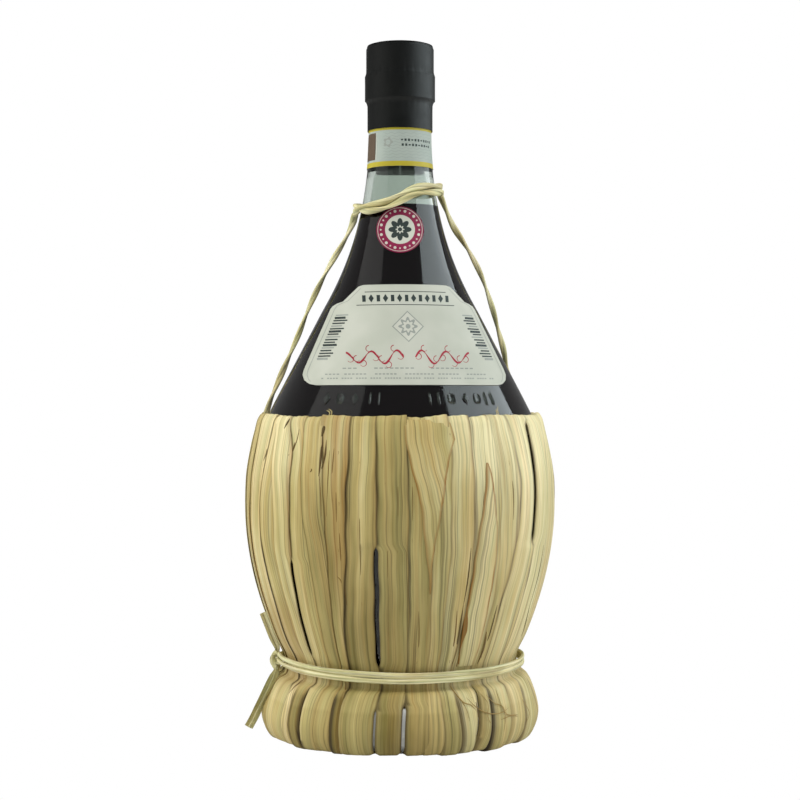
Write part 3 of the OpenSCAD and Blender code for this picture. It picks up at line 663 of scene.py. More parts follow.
def leaf_height(i, u, z):
    """How far the outer face stands off the stations at u across leaf i and height z."""
    rng = np.random.default_rng(40 + i % LEAVES)
    k, low = seen_number(i), below_tie(z)
    apart = smooth_step((slit_width(i + 1, z) + OVERLAP) / (OVERLAP + 0.3))
    seam, creases = seam_depth.get(k + 1, 0.5), (foot_creases.get(k, 0.6), foot_creases.get(k + 1, 0.6))
    step = SHINGLE * blend_between(0.12 + 0.88 * seam, 0.1 + 0.3 * creases[1], low)
    height = BLADE_T + step * blend_between(1.0, 0.15, apart) * smooth_step(u * 1.06 - 0.03)
    pleat = 0.62 - 1.1 * (creases[0] * smooth_step(1 - u / 0.18)
                          + creases[1] * smooth_step(1 - (1 - u) / 0.18))
    height = height + blend_between(0.12 * (1 - (2 * u - 1) ** 2), pleat, low)
    for _ in range(3):  # three faint folds run down the leaf
        centre, wide, tall = rng.uniform(0.15, 0.85), rng.uniform(0.03, 0.1), rng.uniform(-0.09, 0.09)
        drift, phase = rng.uniform(-0.08, 0.08), rng.uniform(0, 6.28)
        fold = np.exp(-((u - centre - drift * np.sin(z / 38 + phase)) / wide) ** 2)
        height = height + tall * fold * (0.7 + 0.3 * np.sin(z / 17 + phase))
    lift = rng.uniform(0.0, 0.4) * seam  # the free edge stands up here and there
    waves = 0.5 + 0.5 * np.sin(z / 23 + rng.uniform(0, 6.28))
    height = height + lift * (1 - apart) * smooth_step((u - 0.8) / 0.2) * waves
    drawn_tight = BLADE_T * 0.75 + (height - BLADE_T) * 0.55
    return blend_between(height, drawn_tight, smooth_step((z - 125) / 9))  # as it is at the rim


def droop(azimuth, z):
    """In front the rim dips a little, and the waist hangs lower than at the sides."""
    front = np.maximum(np.cos(np.radians(azimuth)), 0)
    waist = smooth_step((z - 13) / 14) * smooth_step((58 - z) / 16)
    return -front * (RIM_DROOP * smooth_step((z - 128) / 9) + WAIST_DROOP * waist)


def leaf_sides(i, z, r):
    """Azimuths of the two long edges of leaf i."""
    per_mm = 180 / math.pi / r
    return (edge_azimuth(i, z) + slit_width(i, z) / 2 * per_mm,
            edge_azimuth(i + 1, z) - slit_width(i + 1, z) / 2 * per_mm)


print("the front of the waist hangs", -float(droop(0.0, TIE_Z)), "mm lower")

# %% Leaf meshes
LEAF_T, MIDDLE, SHARP = 0.42, 10, 50  # thickness, lines across the middle, angle of a sharp edge
LEFT_MM, RIGHT_MM = np.array([0, 0.65, 1.2, 1.36, 1.75, 2.4]), np.array([1.1, 0.55, 0.22, 0])


def across_leaf(wide):
    """Distances across a leaf, closer together by its edges, where the seams are drawn."""
    middle = np.linspace(0, 1, MIDDLE + 2)[1:-1]
    narrow = np.minimum(wide / 4.2, 1.0)[:, None]
    left, right = LEFT_MM[None] * narrow, wide[:, None] - RIGHT_MM[None] * narrow
    inside = left[:, -1:] + (right[:, :1] - left[:, -1:]) * middle
    return np.concatenate([left, inside, right], 1)


def closed_sheet(outer, inner):
    """Vertices and faces of a sheet with a front and a back, both given as rows by columns."""
    n, across = outer.shape[:2]
    verts = np.concatenate([outer, inner[:, ::-1]], 1).reshape(-1, 3)
    m = 2 * across
    faces = ring_faces(n, m)
    for base, turn in ((0, 1), ((n - 1) * m, -1)):
        faces += [[base + j, base + m - 1 - j, base + m - 2 - j, base + j + 1][::turn]
                  for j in range(across - 1)]
    return verts, faces


def both_sides(values):
    """Values given as rows by columns, in the order of a closed sheet's vertices."""
    values = np.asarray(values)
    return np.concatenate([values, values[:, ::-1]], 1).reshape(-1, *values.shape[2:])


def leaf_mesh(outer, inner, uv, **marks):
    """A thin closed leaf. Its faces, its uv and its marks are given as rows by columns."""
    verts, faces = closed_sheet(outer, inner)
    marks = {label: both_sides(values) for label, values in marks.items()}
    return make_mesh(verts, faces, both_sides(uv), marks, sharp=SHARP)


print("leaves", LEAF_T, "mm thick,", len(across_leaf(np.array([12.0]))[0]), "points across")

# %% Leaf colours
def leaf_tone(i, u, z):
    """0 is olive and 1 is cream: the leaf's own tone with slow waves in it, painted light that makes it paler
    towards the rim, and painted shade under the bend over the base.
    """
    k = seen_number(i)
    tone = leaf_tones.get(k, 0.35 + 0.45 * np.random.default_rng(900 + i).random())
    # painted light: the leaves get paler towards the rim, where they turn up to the light from above
    tone = tone + 0.07 * np.sin(z / 21 + i) + 0.27 * smooth_step((z - 96) / 36)
    # below the tie: the leaves' own tone and painted shade on the pleats
    tone = tone + foot_tones_and_shade.get(k, 0.15 * np.sin(i * 2.4)) * below_tie(z)
    shade_under_bend = smooth_step((19.4 + 0.5 * np.sin(i * 2.7) - z) / 0.9)  # painted shade where the leaf turns down over the base's shoulder
    tone = tone - 0.1 * shade_under_bend
    return tone + 0.06 * np.sin(u * (5 + i % 4) + i)


def leaf_shade(i, across, to_right, azimuth, z, rng):
    """The painted shade of the seams along both edges of a leaf."""
    k, low = seen_number(i), below_tie(z)
    fade = 0.66 + 0.34 * np.sin(z / 11 + i * 2) * np.sin(z / 4.3 + i)
    lower_seam = 0.7 * smooth_step((92 - z) / 10)  # the painted shade of the seam far left grows towards the waist
    left = seam_depth.get(k, 0.3 + 0.6 * rng.random()) * fade + lower_seam * (k == -2)
    right = seam_depth.get(k + 1, 0.6) * fade + lower_seam * (k == -3)
    left = blend_between(left, foot_creases.get(k, 0.6), low)
    right = blend_between(right, foot_creases.get(k + 1, 0.6), low)
    from_left = across - OVERLAP * (slit_width(i, z) < 0)
    # Right of the middle a raised edge hides part of the seam, so the line of painted shade is drawn wider
    # there
    hidden = np.maximum(np.sin(np.radians(azimuth)), 0) * smooth_step((88 - azimuth) / 20) * (azimuth < 90)
    left_mm = (0.45 + (0.8 + 0.5 * low) * left) * (1 + 0.9 * hidden)
    right_mm = (0.35 + 0.4 * right * (1 + low)) * (1 + 0.9 * hidden)
    return np.maximum(left * smooth_step(1.15 - (from_left + 0.1) / left_mm),
                      right * smooth_step(1.1 - to_right / right_mm))


def leaf_rust_and_shade(i, u, to_right, z):
    """The brown along the right edge: partly stain that has crept in, partly painted shade beside the seam.
    """
    k, low = seen_number(i), below_tie(z)
    stain, reach = edge_stains_and_shade.get(k + 1, (0.4 * (i % 3 == 0), 1.2))
    rust = stain * smooth_step(1.3 - to_right / reach) * (0.65 + 0.35 * np.sin(z / 19 + i)) * (1 - 0.5 * low)
    if k == 2:  # the leaf left of the darkest seam is brown all over
        rust = np.maximum(rust, 0.42 * (0.7 + 0.5 * np.sin(u * 14)) * smooth_step((z - 55) / 30))
    if k in (-3, -2):  # and so are the lower parts of two leaves at the far left
        rust = np.maximum(rust, 0.35 * smooth_step((72 - z) / 20) * (1 - low))
    return rust


print("tone, shade and rust of a leaf")

# %% The leaves
def lay_leaf(i):
    """One leaf, laid through the stations between its two edges, in the place of its CAD blade."""
    r, z, out = rows[:, 0], rows[:, 1:2], rows[:, None, 2:4]
    left, right = leaf_sides(i, rows[:, 1], r)
    wide = np.radians(right - left) * r
    across = across_leaf(wide)
    u, to_right = across / wide[:, None], wide[:, None] - across
    azimuth = left[:, None] + (right - left)[:, None] * u
    outside = smooth_step((np.arange(len(rows)) - 6) / 10)  # the flap inside the rim lies flat
    stand = blend_between(BLADE_T, leaf_height(i, u, z), (outside * rows[:, 4])[:, None])
    rng = np.random.default_rng(70 + i)
    up = rng.uniform(-0.1, 0.8) + rng.uniform(-0.9, 0.9) * (u - 0.5) + 0.1 * np.sin(u * 17 + i)
    rise = up * smooth_step((z - 122) / 15) + droop(azimuth, z)
    foot = (rng.uniform(-0.5, 0.5) + 0.5 * (u - 0.5)) * smooth_step((9 - z) / 5)
    face = rows[:, None, 0:2] + stand[..., None] * out
    outer, inner = (round_point(side[..., 0], azimuth, side[..., 1] + rise + foot)
                    for side in (face, face - LEAF_T * out))
    uv = np.stack([across + 47.0 * i, np.broadcast_to(run_mm[:, None], across.shape)], -1)
    mesh = leaf_mesh(outer, inner, uv, tone=leaf_tone(i, u, z),
                     shade=leaf_shade(i, across, to_right, azimuth, z, rng),
                     rust=leaf_rust_and_shade(i, u, to_right, z))
    return add_piece(f"straw_leaf_{i + 1:02d}", mesh, straw, "straw", f"blade_{i + 1:02d}")


leaves = [lay_leaf(i) for i in range(LEAVES)]
print(len(leaves), "leaves of", len(leaves[0].data.polygons), "faces")

# %% [markdown]
# ## Short leaves, torn edges and stains
# Not every leaf runs from rim to foot. Some are cut to a point and lie on top, and
# their edges have gone rusty; others have torn hairs, and streaks of stain and painted
# shade. They are what makes the jacket look laid by hand. A point on the jacket is
# found from the same stations and leaf heights, so that all of these lie on the leaves and not in them.

# %% A point on the jacket
USUAL_STAND = 1.4  # how far most of the leaves' faces stand off the stations
jacket_levels = (outer_rows[:, 1] + USUAL_STAND * outer_rows[:, 3])[::-1]


def on_jacket(azimuth, z, up=0.0):
    """The point that stands up mm off the outermost leaf at an azimuth and a height."""
    azimuth, z, up = np.broadcast_arrays(np.asarray(azimuth, float), np.asarray(z, float), up)
    drop = droop(azimuth, z)
    r, level, nr, nz = (np.interp(z - drop, jacket_levels, outer_rows[::-1, k]) for k in range(4))
    stand = np.full(z.shape, BLADE_T)
    for i in range(-6, LEAVES):
        left, right = leaf_sides(i, level, r)
        u = (azimuth - left) / (right - left)
        on_it = (u >= -0.001) & (u <= 1.001)
        if on_it.any():
            stand = np.where(on_it, np.maximum(stand, leaf_height(i, np.clip(u, 0, 1), level)), stand)
    stand = stand + up
    return round_point(r + stand * nr, azimuth, level + stand * nz + drop)


print("front of the belly at radius", round(float(-on_jacket(0.0, 90.0)[1]), 1), "mm")

# %% Leaves cut to a point
TIP_LIFT, TIP_T, TIP_EDGE_MM = 0.45, 0.3, np.array([0, 0.3, 0.7, 1.2])


def pointed_leaf(name, left_side, right_side, tone, rusty):
    """A short leaf over the others, between two edges given as (azimuth, z) from the top down."""
    (a0, z0), (a1, z1) = np.array(left_side, float).T, np.array(right_side, float).T
    from_rim = z0[0] > RIM_Z - 3
    top, foot = min(z0[0], z1[0]), max(z0[-1], z1[-1])
    z = np.linspace(top, foot, int((top - foot) / 1.6) + 2)
    left, right = np.interp(z, z0[::-1], a0[::-1]), np.interp(z, z1[::-1], a1[::-1])
    wobble = 0.16 * np.sin(z / 5.1) + 0.1 * np.sin(z / 1.9)
    left, right = left + wobble, np.maximum(right + wobble[::-1], left + wobble + 0.25)
    per_degree = math.radians(1) * np.interp(z, jacket_levels, outer_rows[::-1, 0])
    wide = (right - left) * per_degree
    narrow = np.minimum(wide / 3.2, 1.0)[:, None]
    inner_mm = TIP_EDGE_MM[-1] * narrow
    middle = inner_mm + (wide[:, None] - 2 * TIP_EDGE_MM[-1] * narrow) * np.linspace(0, 1, 7)[1:-1]
    across = np.concatenate([TIP_EDGE_MM * narrow, middle, wide[:, None] - TIP_EDGE_MM[::-1] * narrow], 1)
    azimuth = left[:, None] + across / per_degree[:, None]
    zz = np.broadcast_to(z[:, None], azimuth.shape)
    to_edge = np.minimum(across, wide[:, None] - across)
    base = on_jacket(azimuth, zz)
    smooth_base = base.copy()
    for _ in range(3):  # a leaf doesn't dip into each seam below it
        smooth_base[:, 1:-1] = (smooth_base[:, :-2] + 2 * smooth_base[:, 1:-1] + smooth_base[:, 2:]) / 4
    away = base * [1, 1, 0]
    away /= np.linalg.norm(away, axis=-1, keepdims=True)
    proud = np.maximum(((smooth_base - base) * away).sum(-1), 0)
    rise = smooth_step((z[0] - zz + (0.6 if from_rim else 3)) / 6)
    up = proud * (rise if from_rim else 1) + TIP_LIFT * (0.55 + 0.45 * smooth_step(to_edge / 1.2)) * rise
    rust = rusty * smooth_step(1.5 - to_edge / 0.85) * (0.8 + 0.2 * np.sin(zz / 8))
    # painted shade along the edges of the short leaf
    shade = 0.22 * smooth_step(1 - to_edge / 0.4)
    uv = np.stack([across + 31 * len(name), zz * -1.0], -1)
    mesh = leaf_mesh(base + up[..., None] * away, base + (up - TIP_T)[..., None] * away, uv,
                     tone=tone + 0.05 * np.sin(zz / 15), shade=shade, rust=rust)
    add_piece(name, mesh, straw, "straw")


pointed_leaf("straw_tip_down", [(0.9, 138.6), (2.0, 128.2), (7.1, 101.8), (9.5, 80.3), (10.9, 67)],
             [(18.6, 138.6), (20.2, 129), (17.5, 120.3), (14.4, 101.7), (11.6, 79.9), (11.2, 67)], 0.55, 0.8)
pointed_leaf("straw_tip_up", [(32.2, 119.4), (29.8, 101.1), (27.3, 79.4), (26.4, 60), (26.6, 36)],
             [(32.7, 119.4), (34.3, 112), (36.2, 94.3), (36.6, 70), (36.0, 36)], 0.84, 0.9)
print("two leaves cut to a point")

# %% Hairs on the jacket
HAIR_HALF_T, HAIR_STEP = 0.09, 0.7


def joined(parts):
    """Parts given as (vertices, faces), as one set of each."""
    verts, faces, start = [], [], 0
    for part_verts, part_faces in parts:
        faces += [[start + k for k in face] for face in part_faces]
        verts.append(part_verts)
        start += len(part_verts)
    return np.concatenate(verts), faces


def leaf_hairs(name, hairs):
    """Thin flat hairs on the jacket: (points of azimuth, z and stand-off, width, tone, rust, shade)."""
    parts, uvs, marks = [], [], []
    for points, wide, *mark in hairs:
        if not isinstance(points, np.ndarray):
            points = np.array([on_jacket(a, z, up) for a, z, up in points])
        route = evenly(through(points, 6), HAIR_STEP)
        t = np.linspace(0, 1, len(route))
        a = np.linspace(0, 2 * math.pi, 8, endpoint=False)
        section = np.stack([HAIR_HALF_T * np.cos(a), wide / 2 * np.sin(a)], -1)
        verts, faces, uv = sweep(route, section, scale=np.sqrt(np.sin(np.clip(t, 0.03, 0.97) * math.pi)))
        parts.append((verts, faces))
        uvs.append(uv)
        marks.append(np.tile(mark, (len(verts), 1)))
    verts, faces = joined(parts)
    marks = np.concatenate(marks)
    mesh = make_mesh(verts, faces, np.concatenate(uvs), {
        "tone": marks[:, 0], "rust": marks[:, 1], "shade": marks[:, 2]})
    add_piece(name, mesh, straw, "straw")


print("hairs", 2 * HAIR_HALF_T, "mm thick")

# %% Stains and painted shade in streaks
def streak(a0, z0, a1, z1, wide, rust=0.4, shade=0.6, bend=0.5, up=0.05):
    """A streak of stain and painted shade between two points, bent sideways by so many degrees."""
    mid = ((a0 + a1) / 2 + bend, (z0 + z1) / 2, up)
    return ([(a0, z0, up), mid, (a1, z1, up)], wide, 0.2, rust, shade)


# Azimuth and z of both ends, width, and then rust, painted shade (of dark slits and seams), bend and
# stand-off where they aren't the usual
streaks = [streak(*values) for values in (
    (26.3, 61.7, 27.7, 37.0, 2.7, 1.0, 0.16, 0.3, 0.4), (25.4, 85.5, 24.6, 61.8, 0.6, 0.3, 0.8, 0.2),
    (24.6, 61.8, 24.0, 37.3, 0.8, 0.3, 0.85, 0.2), (66.0, 84.0, 65.2, 58.8, 0.6, 0.2, 0.75, 0.3),
    (65.2, 58.8, 69.7, 39.0, 0.6, 0.2, 0.75, 0.3), (40.6, 61.2, 39.4, 38.8, 0.6, 0.2, 0.8, 0.2),
    (32.2, 48.8, 34.5, 36.6, 0.9, 0.6, 0.7, 0.3), (38.4, 50, 38.6, 36.5, 1.0, 0.6, 0.6),
    (31, 101, 31, 95, 0.8, 0.5, 0.75), (30.9, 93.4, 31.1, 92, 0.7, 0.5, 0.7),
    (-48.2, 138, -49.6, 133, 1.1, 0.5, 0.9), (-59, 124.5, -60.2, 119.5, 0.7, 0.5, 0.7),
    (-42.3, 127.5, -44.3, 122, 0.9, 0.6, 0.7), (-41.2, 133, -42.6, 124, 0.5, 0.6, 0.5),
    (-30.3, 137.6, -30.0, 130, 1.5, 0.5, 0.9), (-29.8, 131, -29.5, 114, 1.1, 0.6, 0.9, 0.3),
    (-27.9, 129.5, -28.6, 117, 0.9, 0.6, 0.8, 0.5), (-28.8, 124, -29.2, 112.5, 0.5, 0.6, 0.7),
    (-29.2, 114, -28.2, 98, 0.45, 0.7, 0.45, 0.2), (-26.2, 130, -26.3, 98, 0.4, 0.7, 0.45, 0.4),
    (-24.0, 134, -23.9, 104, 0.45, 0.7, 0.4, -0.3), (-22.3, 124, -21.8, 84, 0.4, 0.7, 0.4, -0.3),
    (-21.2, 104, -20.6, 62, 0.5, 0.8, 0.4, -0.2), (-23, 74, -21.6, 71.5, 0.4, 0.8, 0.4),
    (-33, 117, -33.4, 115.6, 0.6, 0.7, 0.6), (-52.4, 29, -55, 23, 0.5, 0.6, 0.6),
    (-26, 30, -25.6, 24, 0.5, 0.6, 0.5), (14.5, 128, 14.2, 96, 0.3, 0.5, 0.35),
    (3.5, 126, 4.2, 88, 0.3, 0.5, 0.35), (-14.2, 120, -14.6, 62, 0.35, 0.4, 0.4),
    (-5.1, 112, -4.6, 50, 0.35, 0.4, 0.4), (-1.4, 132, -0.9, 84, 0.3, 0.4, 0.35),
    (22.3, 60, 22.6, 38, 0.5, 0.7, 0.4), (42.5, 120, 43.5, 96, 0.35, 0.5, 0.4),
    (7.1, 60, 7.5, 38, 0.35, 0.5, 0.35), (33.0, 22, 33.0, 8.5, 0.9, 0.5, 0.85, 0.5),
    (31.6, 24, 33.4, 13, 0.5, 0.8, 0.5, 0.8))]
for k in range(26):  # the unseen sides have theirs too
    rng = np.random.default_rng(3000 + k)
    azimuth, z = rng.uniform(75, 285), rng.uniform(50, 128)
    streaks.append(streak(azimuth, z, azimuth + rng.uniform(-1, 1), z - rng.uniform(5, 22),
                          rng.uniform(0.3, 0.7), rng.uniform(0.3, 0.9), rng.uniform(0.3, 0.6), 0.3))
leaf_hairs("leaf_streaks", streaks)
print(len(streaks), "streaks")

# %% Torn hairs
frayed = []
for azimuth, tall in ((41.8, 3.0), (42.6, 1.4), (-28.5, 1.9), (-29.4, 1.3), (120, 2.2), (201, 2.6),
                      (-110, 2.0)):  # ends that stand up from the rim
    r = float(rows[4 * ROWS_EACH, 0]) - 0.6
    route = [round_point(r, azimuth, RIM_Z - 1.2), round_point(r - 0.2, azimuth + 0.6, RIM_Z + tall * 0.4),
             round_point(r - 0.6, azimuth + (1.6 if tall > 2.9 else -1.2), RIM_Z + tall)]
    frayed.append((np.array(route), 0.45, 0.7, 0.1, 0.0))
frayed += [(points, wide, tone, rust, 0.0) for points, wide, tone, rust in (  # and hairs below the tie
    ([(23, 29, 0.1), (26.5, 22.5, 0.5), (30, 21, 0.4), (32.4, 18.5, 0.1)], 0.5, 0.5, 0.6),
    ([(39, 24, 0.1), (42, 20.5, 0.6), (46, 19, 0.4), (47.5, 15.6, 0.5), (55, 14.6, 0.3)], 0.45, 0.6, 0.6),
    ([(46, 25.5, 0.1), (45.2, 20, 0.7), (46.4, 15, 0.5), (45.6, 9, 0.2)], 0.36, 0.6, 0.5),
    ([(29, 24, 0.1), (33, 19.5, 0.7), (38, 17, 0.3), (44, 16.6, 0.8), (50, 18, 0.2)], 0.36, 0.5, 0.75),
    ([(36, 26, 0.2), (38, 21, 0.8), (36.5, 16, 0.9), (39, 12.5, 0.2)], 0.3, 0.5, 0.7),
    ([(44, 14, 0.1), (50, 14.8, 0.9), (55, 13.8, 0.1)], 0.34, 0.5, 0.7),
    ([(24, 28, 0.1), (27, 21, 0.5), (28.5, 15, 0.1)], 0.3, 0.5, 0.6),
    ([(61, 20, 0.2), (64, 14, 0.9), (62, 9, 0.2)], 0.34, 0.5, 0.7))]
leaf_hairs("leaf_frays", frayed)
print(len(frayed), "torn hairs")

# %% [markdown]
# ## Waist tie and knot
# A damp leaf is pulled twice round the waist and knotted at the side; as it dries it
# shrinks and bites in. The two turns are one helix from knot to knot. The section
# is a leaf rolled flat, with a fold down one side, that turns slowly on its way.

# %% Waist tie
KNOT_W = 4.0
tie_from = math.degrees(math.asin((KNOT_W / 2 + TIE_D) / tie_r)) + 5


def knot_point(out, side, z):
    """A point by the knot: away from the axis, sideways along the tie, and height."""
    c, s = math.cos(math.radians(KNOT_AZ)), math.sin(math.radians(KNOT_AZ))
    return np.array([out * s + side * c, -out * c + side * s, z])


turns = np.linspace(tie_from, 720 - tie_from, 360)
loose = 0.22 * np.sin(np.radians(turns * 3.1)) + 0.12 * np.sin(np.radians(turns * 7.3))
tie_drop = droop(KNOT_AZ + turns, TIE_Z) \
    - 0.25 * np.sign(360 - turns) * smooth_step(np.minimum(turns, 720 - turns) / 60)
upper, lower, beside = TIE_Z + TIE_PITCH, TIE_Z - TIE_PITCH, KNOT_W / 2 + TIE_D
tie_path = evenly(np.vstack([
    [knot_point(tie_r, 0.5, upper), knot_point(tie_r, beside, upper)],
    round_point(tie_r + 0.2, KNOT_AZ + turns, TIE_Z + TIE_PITCH * (1 - turns / 360) + loose * 0.5 + tie_drop),
    [knot_point(tie_r, -beside, lower), knot_point(tie_r, -0.5, lower)]]), 0.9)


def rolled_leaf_section(half_wide, half_thick, groove=0.3):
    """An oval with a shallow fold along one face."""
    a = np.linspace(0, 2 * math.pi, 22, endpoint=False)
    dent = 1 - groove * np.exp(-((a - math.pi / 2 + 0.5) / 0.32) ** 2)
    return np.stack([half_thick * np.sin(a) * dent, half_wide * np.cos(a)], -1)


along = lengths_along(tie_path)
verts, faces, uv = sweep(tie_path, rolled_leaf_section(1.22, 0.8, 0.18),
                         start_turn=0.45 * np.sin(along / 17) + 0.15 * np.sin(along / 5.3))
face_share = uv[:, 0] / uv[:, 0].max()
tie_mesh = make_mesh(verts, faces, uv + [700, 0], {
    "tone": 0.68 + 0.2 * np.sin(face_share * 25 + uv[:, 1] * 0.03) + 0.1 * np.sin(uv[:, 1] * 0.11),
    # painted shade along the fold of the rolled leaf and along two more lines beside it
    "shade": 0.3 * smooth_step(np.cos((face_share - 0.17) * 6.28 * 3) * 3 - 2.2),
    "rust": 0.25 * smooth_step(np.sin(uv[:, 1] * 0.07 + 2) * 3 - 2)})
add_piece("waist_tie_leaf", tie_mesh, cord_leaf, "cord", "waist_tie")
print("tie", round(lengths_along(tie_path)[-1]), "mm round at radius", round(float(tie_r), 1))

# %% The knot
knot_route = [  # out from the tie, along it and up, in mm
    (0.2, 1.5, -3.3), (1.5, 1.3, -3.0), (2.3, 0.8, -0.6), (2.2, 0.2, 2.2), (0.9, -0.4, 3.3),
    (-0.6, -0.8, 1.6), (-0.5, -1.0, -1.4), (0.7, -1.2, -3.2), (2.2, -1.0, -1.6), (2.5, -0.5, 1.2),
    (1.6, 0.9, 3.0), (0.3, 1.6, 2.9), (-0.5, 1.5, 0.6), (0.6, 1.4, -1.6)]
knot_path = evenly(through([knot_point(tie_r + x, y, TIE_Z + z) for x, y, z in knot_route], 8), 0.4)
verts, faces, uv = sweep(knot_path, rolled_leaf_section(1.2, 0.8), pitch=16)
knot_mesh = make_mesh(verts, faces, uv + [760, 0], {
    # painted shade in lines along the knotted leaf
    "tone": 0.5 + 0.3 * np.sin(uv[:, 1] * 0.5), "shade": 0.25 * smooth_step(np.sin(uv[:, 0] * 2.5) * 2 - 1)})
add_piece("tie_knot_leaf", knot_mesh, cord_leaf, "cord", "tie_knot")
print("knot of", len(knot_mesh.polygons), "faces")

# %% The tie's free ends
def jacket_r(z):
    """The jacket's outer radius at a height."""
    r, level = (outer_rows[:, k] + jacket_t * outer_rows[:, k + 2] for k in (0, 1))
    return float(np.interp(z, level[::-1], r[::-1]))


def above(off, side, up):
    """A point of the upper end: off the jacket and sideways in cord widths, up in half heights of the tie."""
    z = TIE_Z + up * tie_half
    return knot_point(jacket_r(z) + off * TIE_D, side * TIE_D, z)


end_r = tie_r + 0.27 * TIE_D
low_end = [knot_point(end_r + 0.5, 0, TIE_Z - 1.2), knot_point(end_r + 0.4, 0.8, low_tie + 0.4)]
# The lower end hangs straight down in the front view, just clear of the pleats
for x, z in ((-53.4, 27.6), (-55.6, 23.0), (-57.8, 18.4), (-60.0, 13.8), (-62.2, 9.2), (-64.4, 5.2)):
    clear = jacket_r(z) + 1.2
    low_end.append([x, -math.sqrt(max(clear ** 2 - x ** 2, 11.0 ** 2)), z])
up_end = [knot_point(end_r + 0.4, 0, TIE_Z + 1.2), knot_point(end_r, 0, high_tie + 0.2),
          above(0.6, 0, 1.48), above(0.4, 0.1, 2.57), above(0.32, 0.2, 3.7), above(0.32, 0.3, 5.04)]
RIBBON_HALF_T = 0.18


def folded_ribbon(name, points, wide, fold, tones, replaced, seed):
    """A flat leaf end folded lengthwise: a shallow V with a paper-thin section."""
    path = evenly(through(points, 8), 0.6)
    y = np.linspace(-wide / 2, wide / 2, 13)
    top = fold * (1 - np.abs(y) / (wide / 2)) ** 1.4 - fold * 0.5
    section = np.vstack([np.stack([top + RIBBON_HALF_T, y], -1),
                         np.stack([top - RIBBON_HALF_T, y], -1)[::-1]])
    grow = 0.45 + 0.55 * smooth_step(lengths_along(path) / 9)  # narrow where it leaves the knot
    verts, faces, uv = sweep(path, section, scale=grow, start_turn=-math.pi / 2)
    rng = np.random.default_rng(seed)
    side = np.tile(np.concatenate([y, y[::-1]]), len(path))
    tone = np.where(side < 0.15 * wide, tones[0], tones[1]) + 0.05 * rng.random(len(side))
    # painted shade in the ribbon's fold and along both its edges
    shade = 0.4 * smooth_step(1 - np.abs(side - 0.12 * wide) / 0.5) \
        + 0.2 * smooth_step(1 - (wide / 2 - np.abs(side)) / 0.5)
    mesh = make_mesh(verts, faces, uv + [820 + seed, 0], {"tone": tone, "shade": shade}, sharp=60)
    add_piece(name, mesh, cord_leaf, "cord", replaced)


folded_ribbon("tie_tail_low", low_end, 3.7, 0.8, (0.5, 0.05), "tie_end_low", 1)
folded_ribbon("tie_tail_up", up_end, 3.4, 0.5, (0.85, 0.7), "tie_end_up", 2)
print("two tails")

# %% [markdown]
# ## Glass and wine
# Pale green glass, three millimetres thick, looks almost black where it holds red
# wine and only shows its colour in the neck, where there is air behind it. So the
# flask is a real hollow: outer wall, lip, bore and inner wall turned as one lathe
# profile, with a dark body of wine inside that stops at the fill level. A second
# node group gives the marks of handling: soft smears and slow waves in the surface.
# Glass, foil, plastic, cane and cork share it, each at its own size.

# %% Lathe
def lathe(profile, around=160, closed=False):
    """Turn an (r, z) profile round the flask's axis. A profile that starts and ends on the
    axis stays open there by a hair and gets two small caps; a closed one makes a ring."""
    p = np.asarray(profile, float)
    p = np.where(np.abs(p) < 1e-6, 0, p)
    az = np.linspace(0, 360, around, endpoint=False)
    r = np.maximum(p[:, 0], 0.02)
    verts = round_point(r[:, None], az[None], p[:, 1:2])
    last, after = (len(p) - 1) * around, (np.arange(around) + 1) % around
    closing = [[last + j, last + k, k, j] for j, k in enumerate(after)]
    faces = ring_faces(len(p), around) + (closing if closed else end_caps(len(p), around))
    s = lengths_along(p)
    uv = np.stack(np.broadcast_arrays(np.radians(az)[None] * 25, s[:, None]), -1)
    return verts.reshape(-1, 3), faces, uv.reshape(-1, 2)


def rounded(points, steps=6):
    """Corners of a profile given as (r, z) or (r, z, radius), the latter turned into small arcs."""
    out = []
    pts = [np.array(p[:2], float) for p in points]
    for i, p in enumerate(points):
        if len(p) == 2:
            out.append(pts[i])
            continue
        a, b = pts[i - 1] - pts[i], pts[i + 1] - pts[i]
        la, lb = np.linalg.norm(a), np.linalg.norm(b)
        cut = min(p[2], la * 0.48, lb * 0.48)
        s, e = pts[i] + a / la * cut, pts[i] + b / lb * cut
        for t in np.linspace(0, 1, steps):
            out.append((1 - t) ** 2 * s + 2 * (1 - t) * t * pts[i] + t * t * e)
    return np.array(out)


print("lathe and rounded profiles ready")

# %% The flask's profile
LIP_R, STRING_R, BORE_R, WALL, BORE_DEEP = 14.1, 14.65, 9.25, 3.0, 50
PUNT = [(0, 14), (12, 12.9, 4), (18, 8.7, 3), (BOTTOM_R, BOTTOM_Z)]
inner_wall = np.array([off_glass(z, -WALL) for z in np.linspace(LIP_Z - BORE_DEEP - 6, 16.5, 150)])
flask_profile = np.vstack([
    rounded(PUNT), outline[::-1][1:],
    rounded([(NECK_R, RING_LOW_Z - 1.5), (STRING_R, RING_LOW_Z, 1), (STRING_R, RING_TOP_Z, 1),
             (LIP_R, RING_TOP_Z + 0.4, 0.4), (LIP_R, LIP_Z, 1.6), (BORE_R, LIP_Z, 0.8),
             (BORE_R, LIP_Z - BORE_DEEP)]),
    inner_wall, [[BOTTOM_R, 13.4], [0, 19]]])
print("flask profile", len(flask_profile), "points")

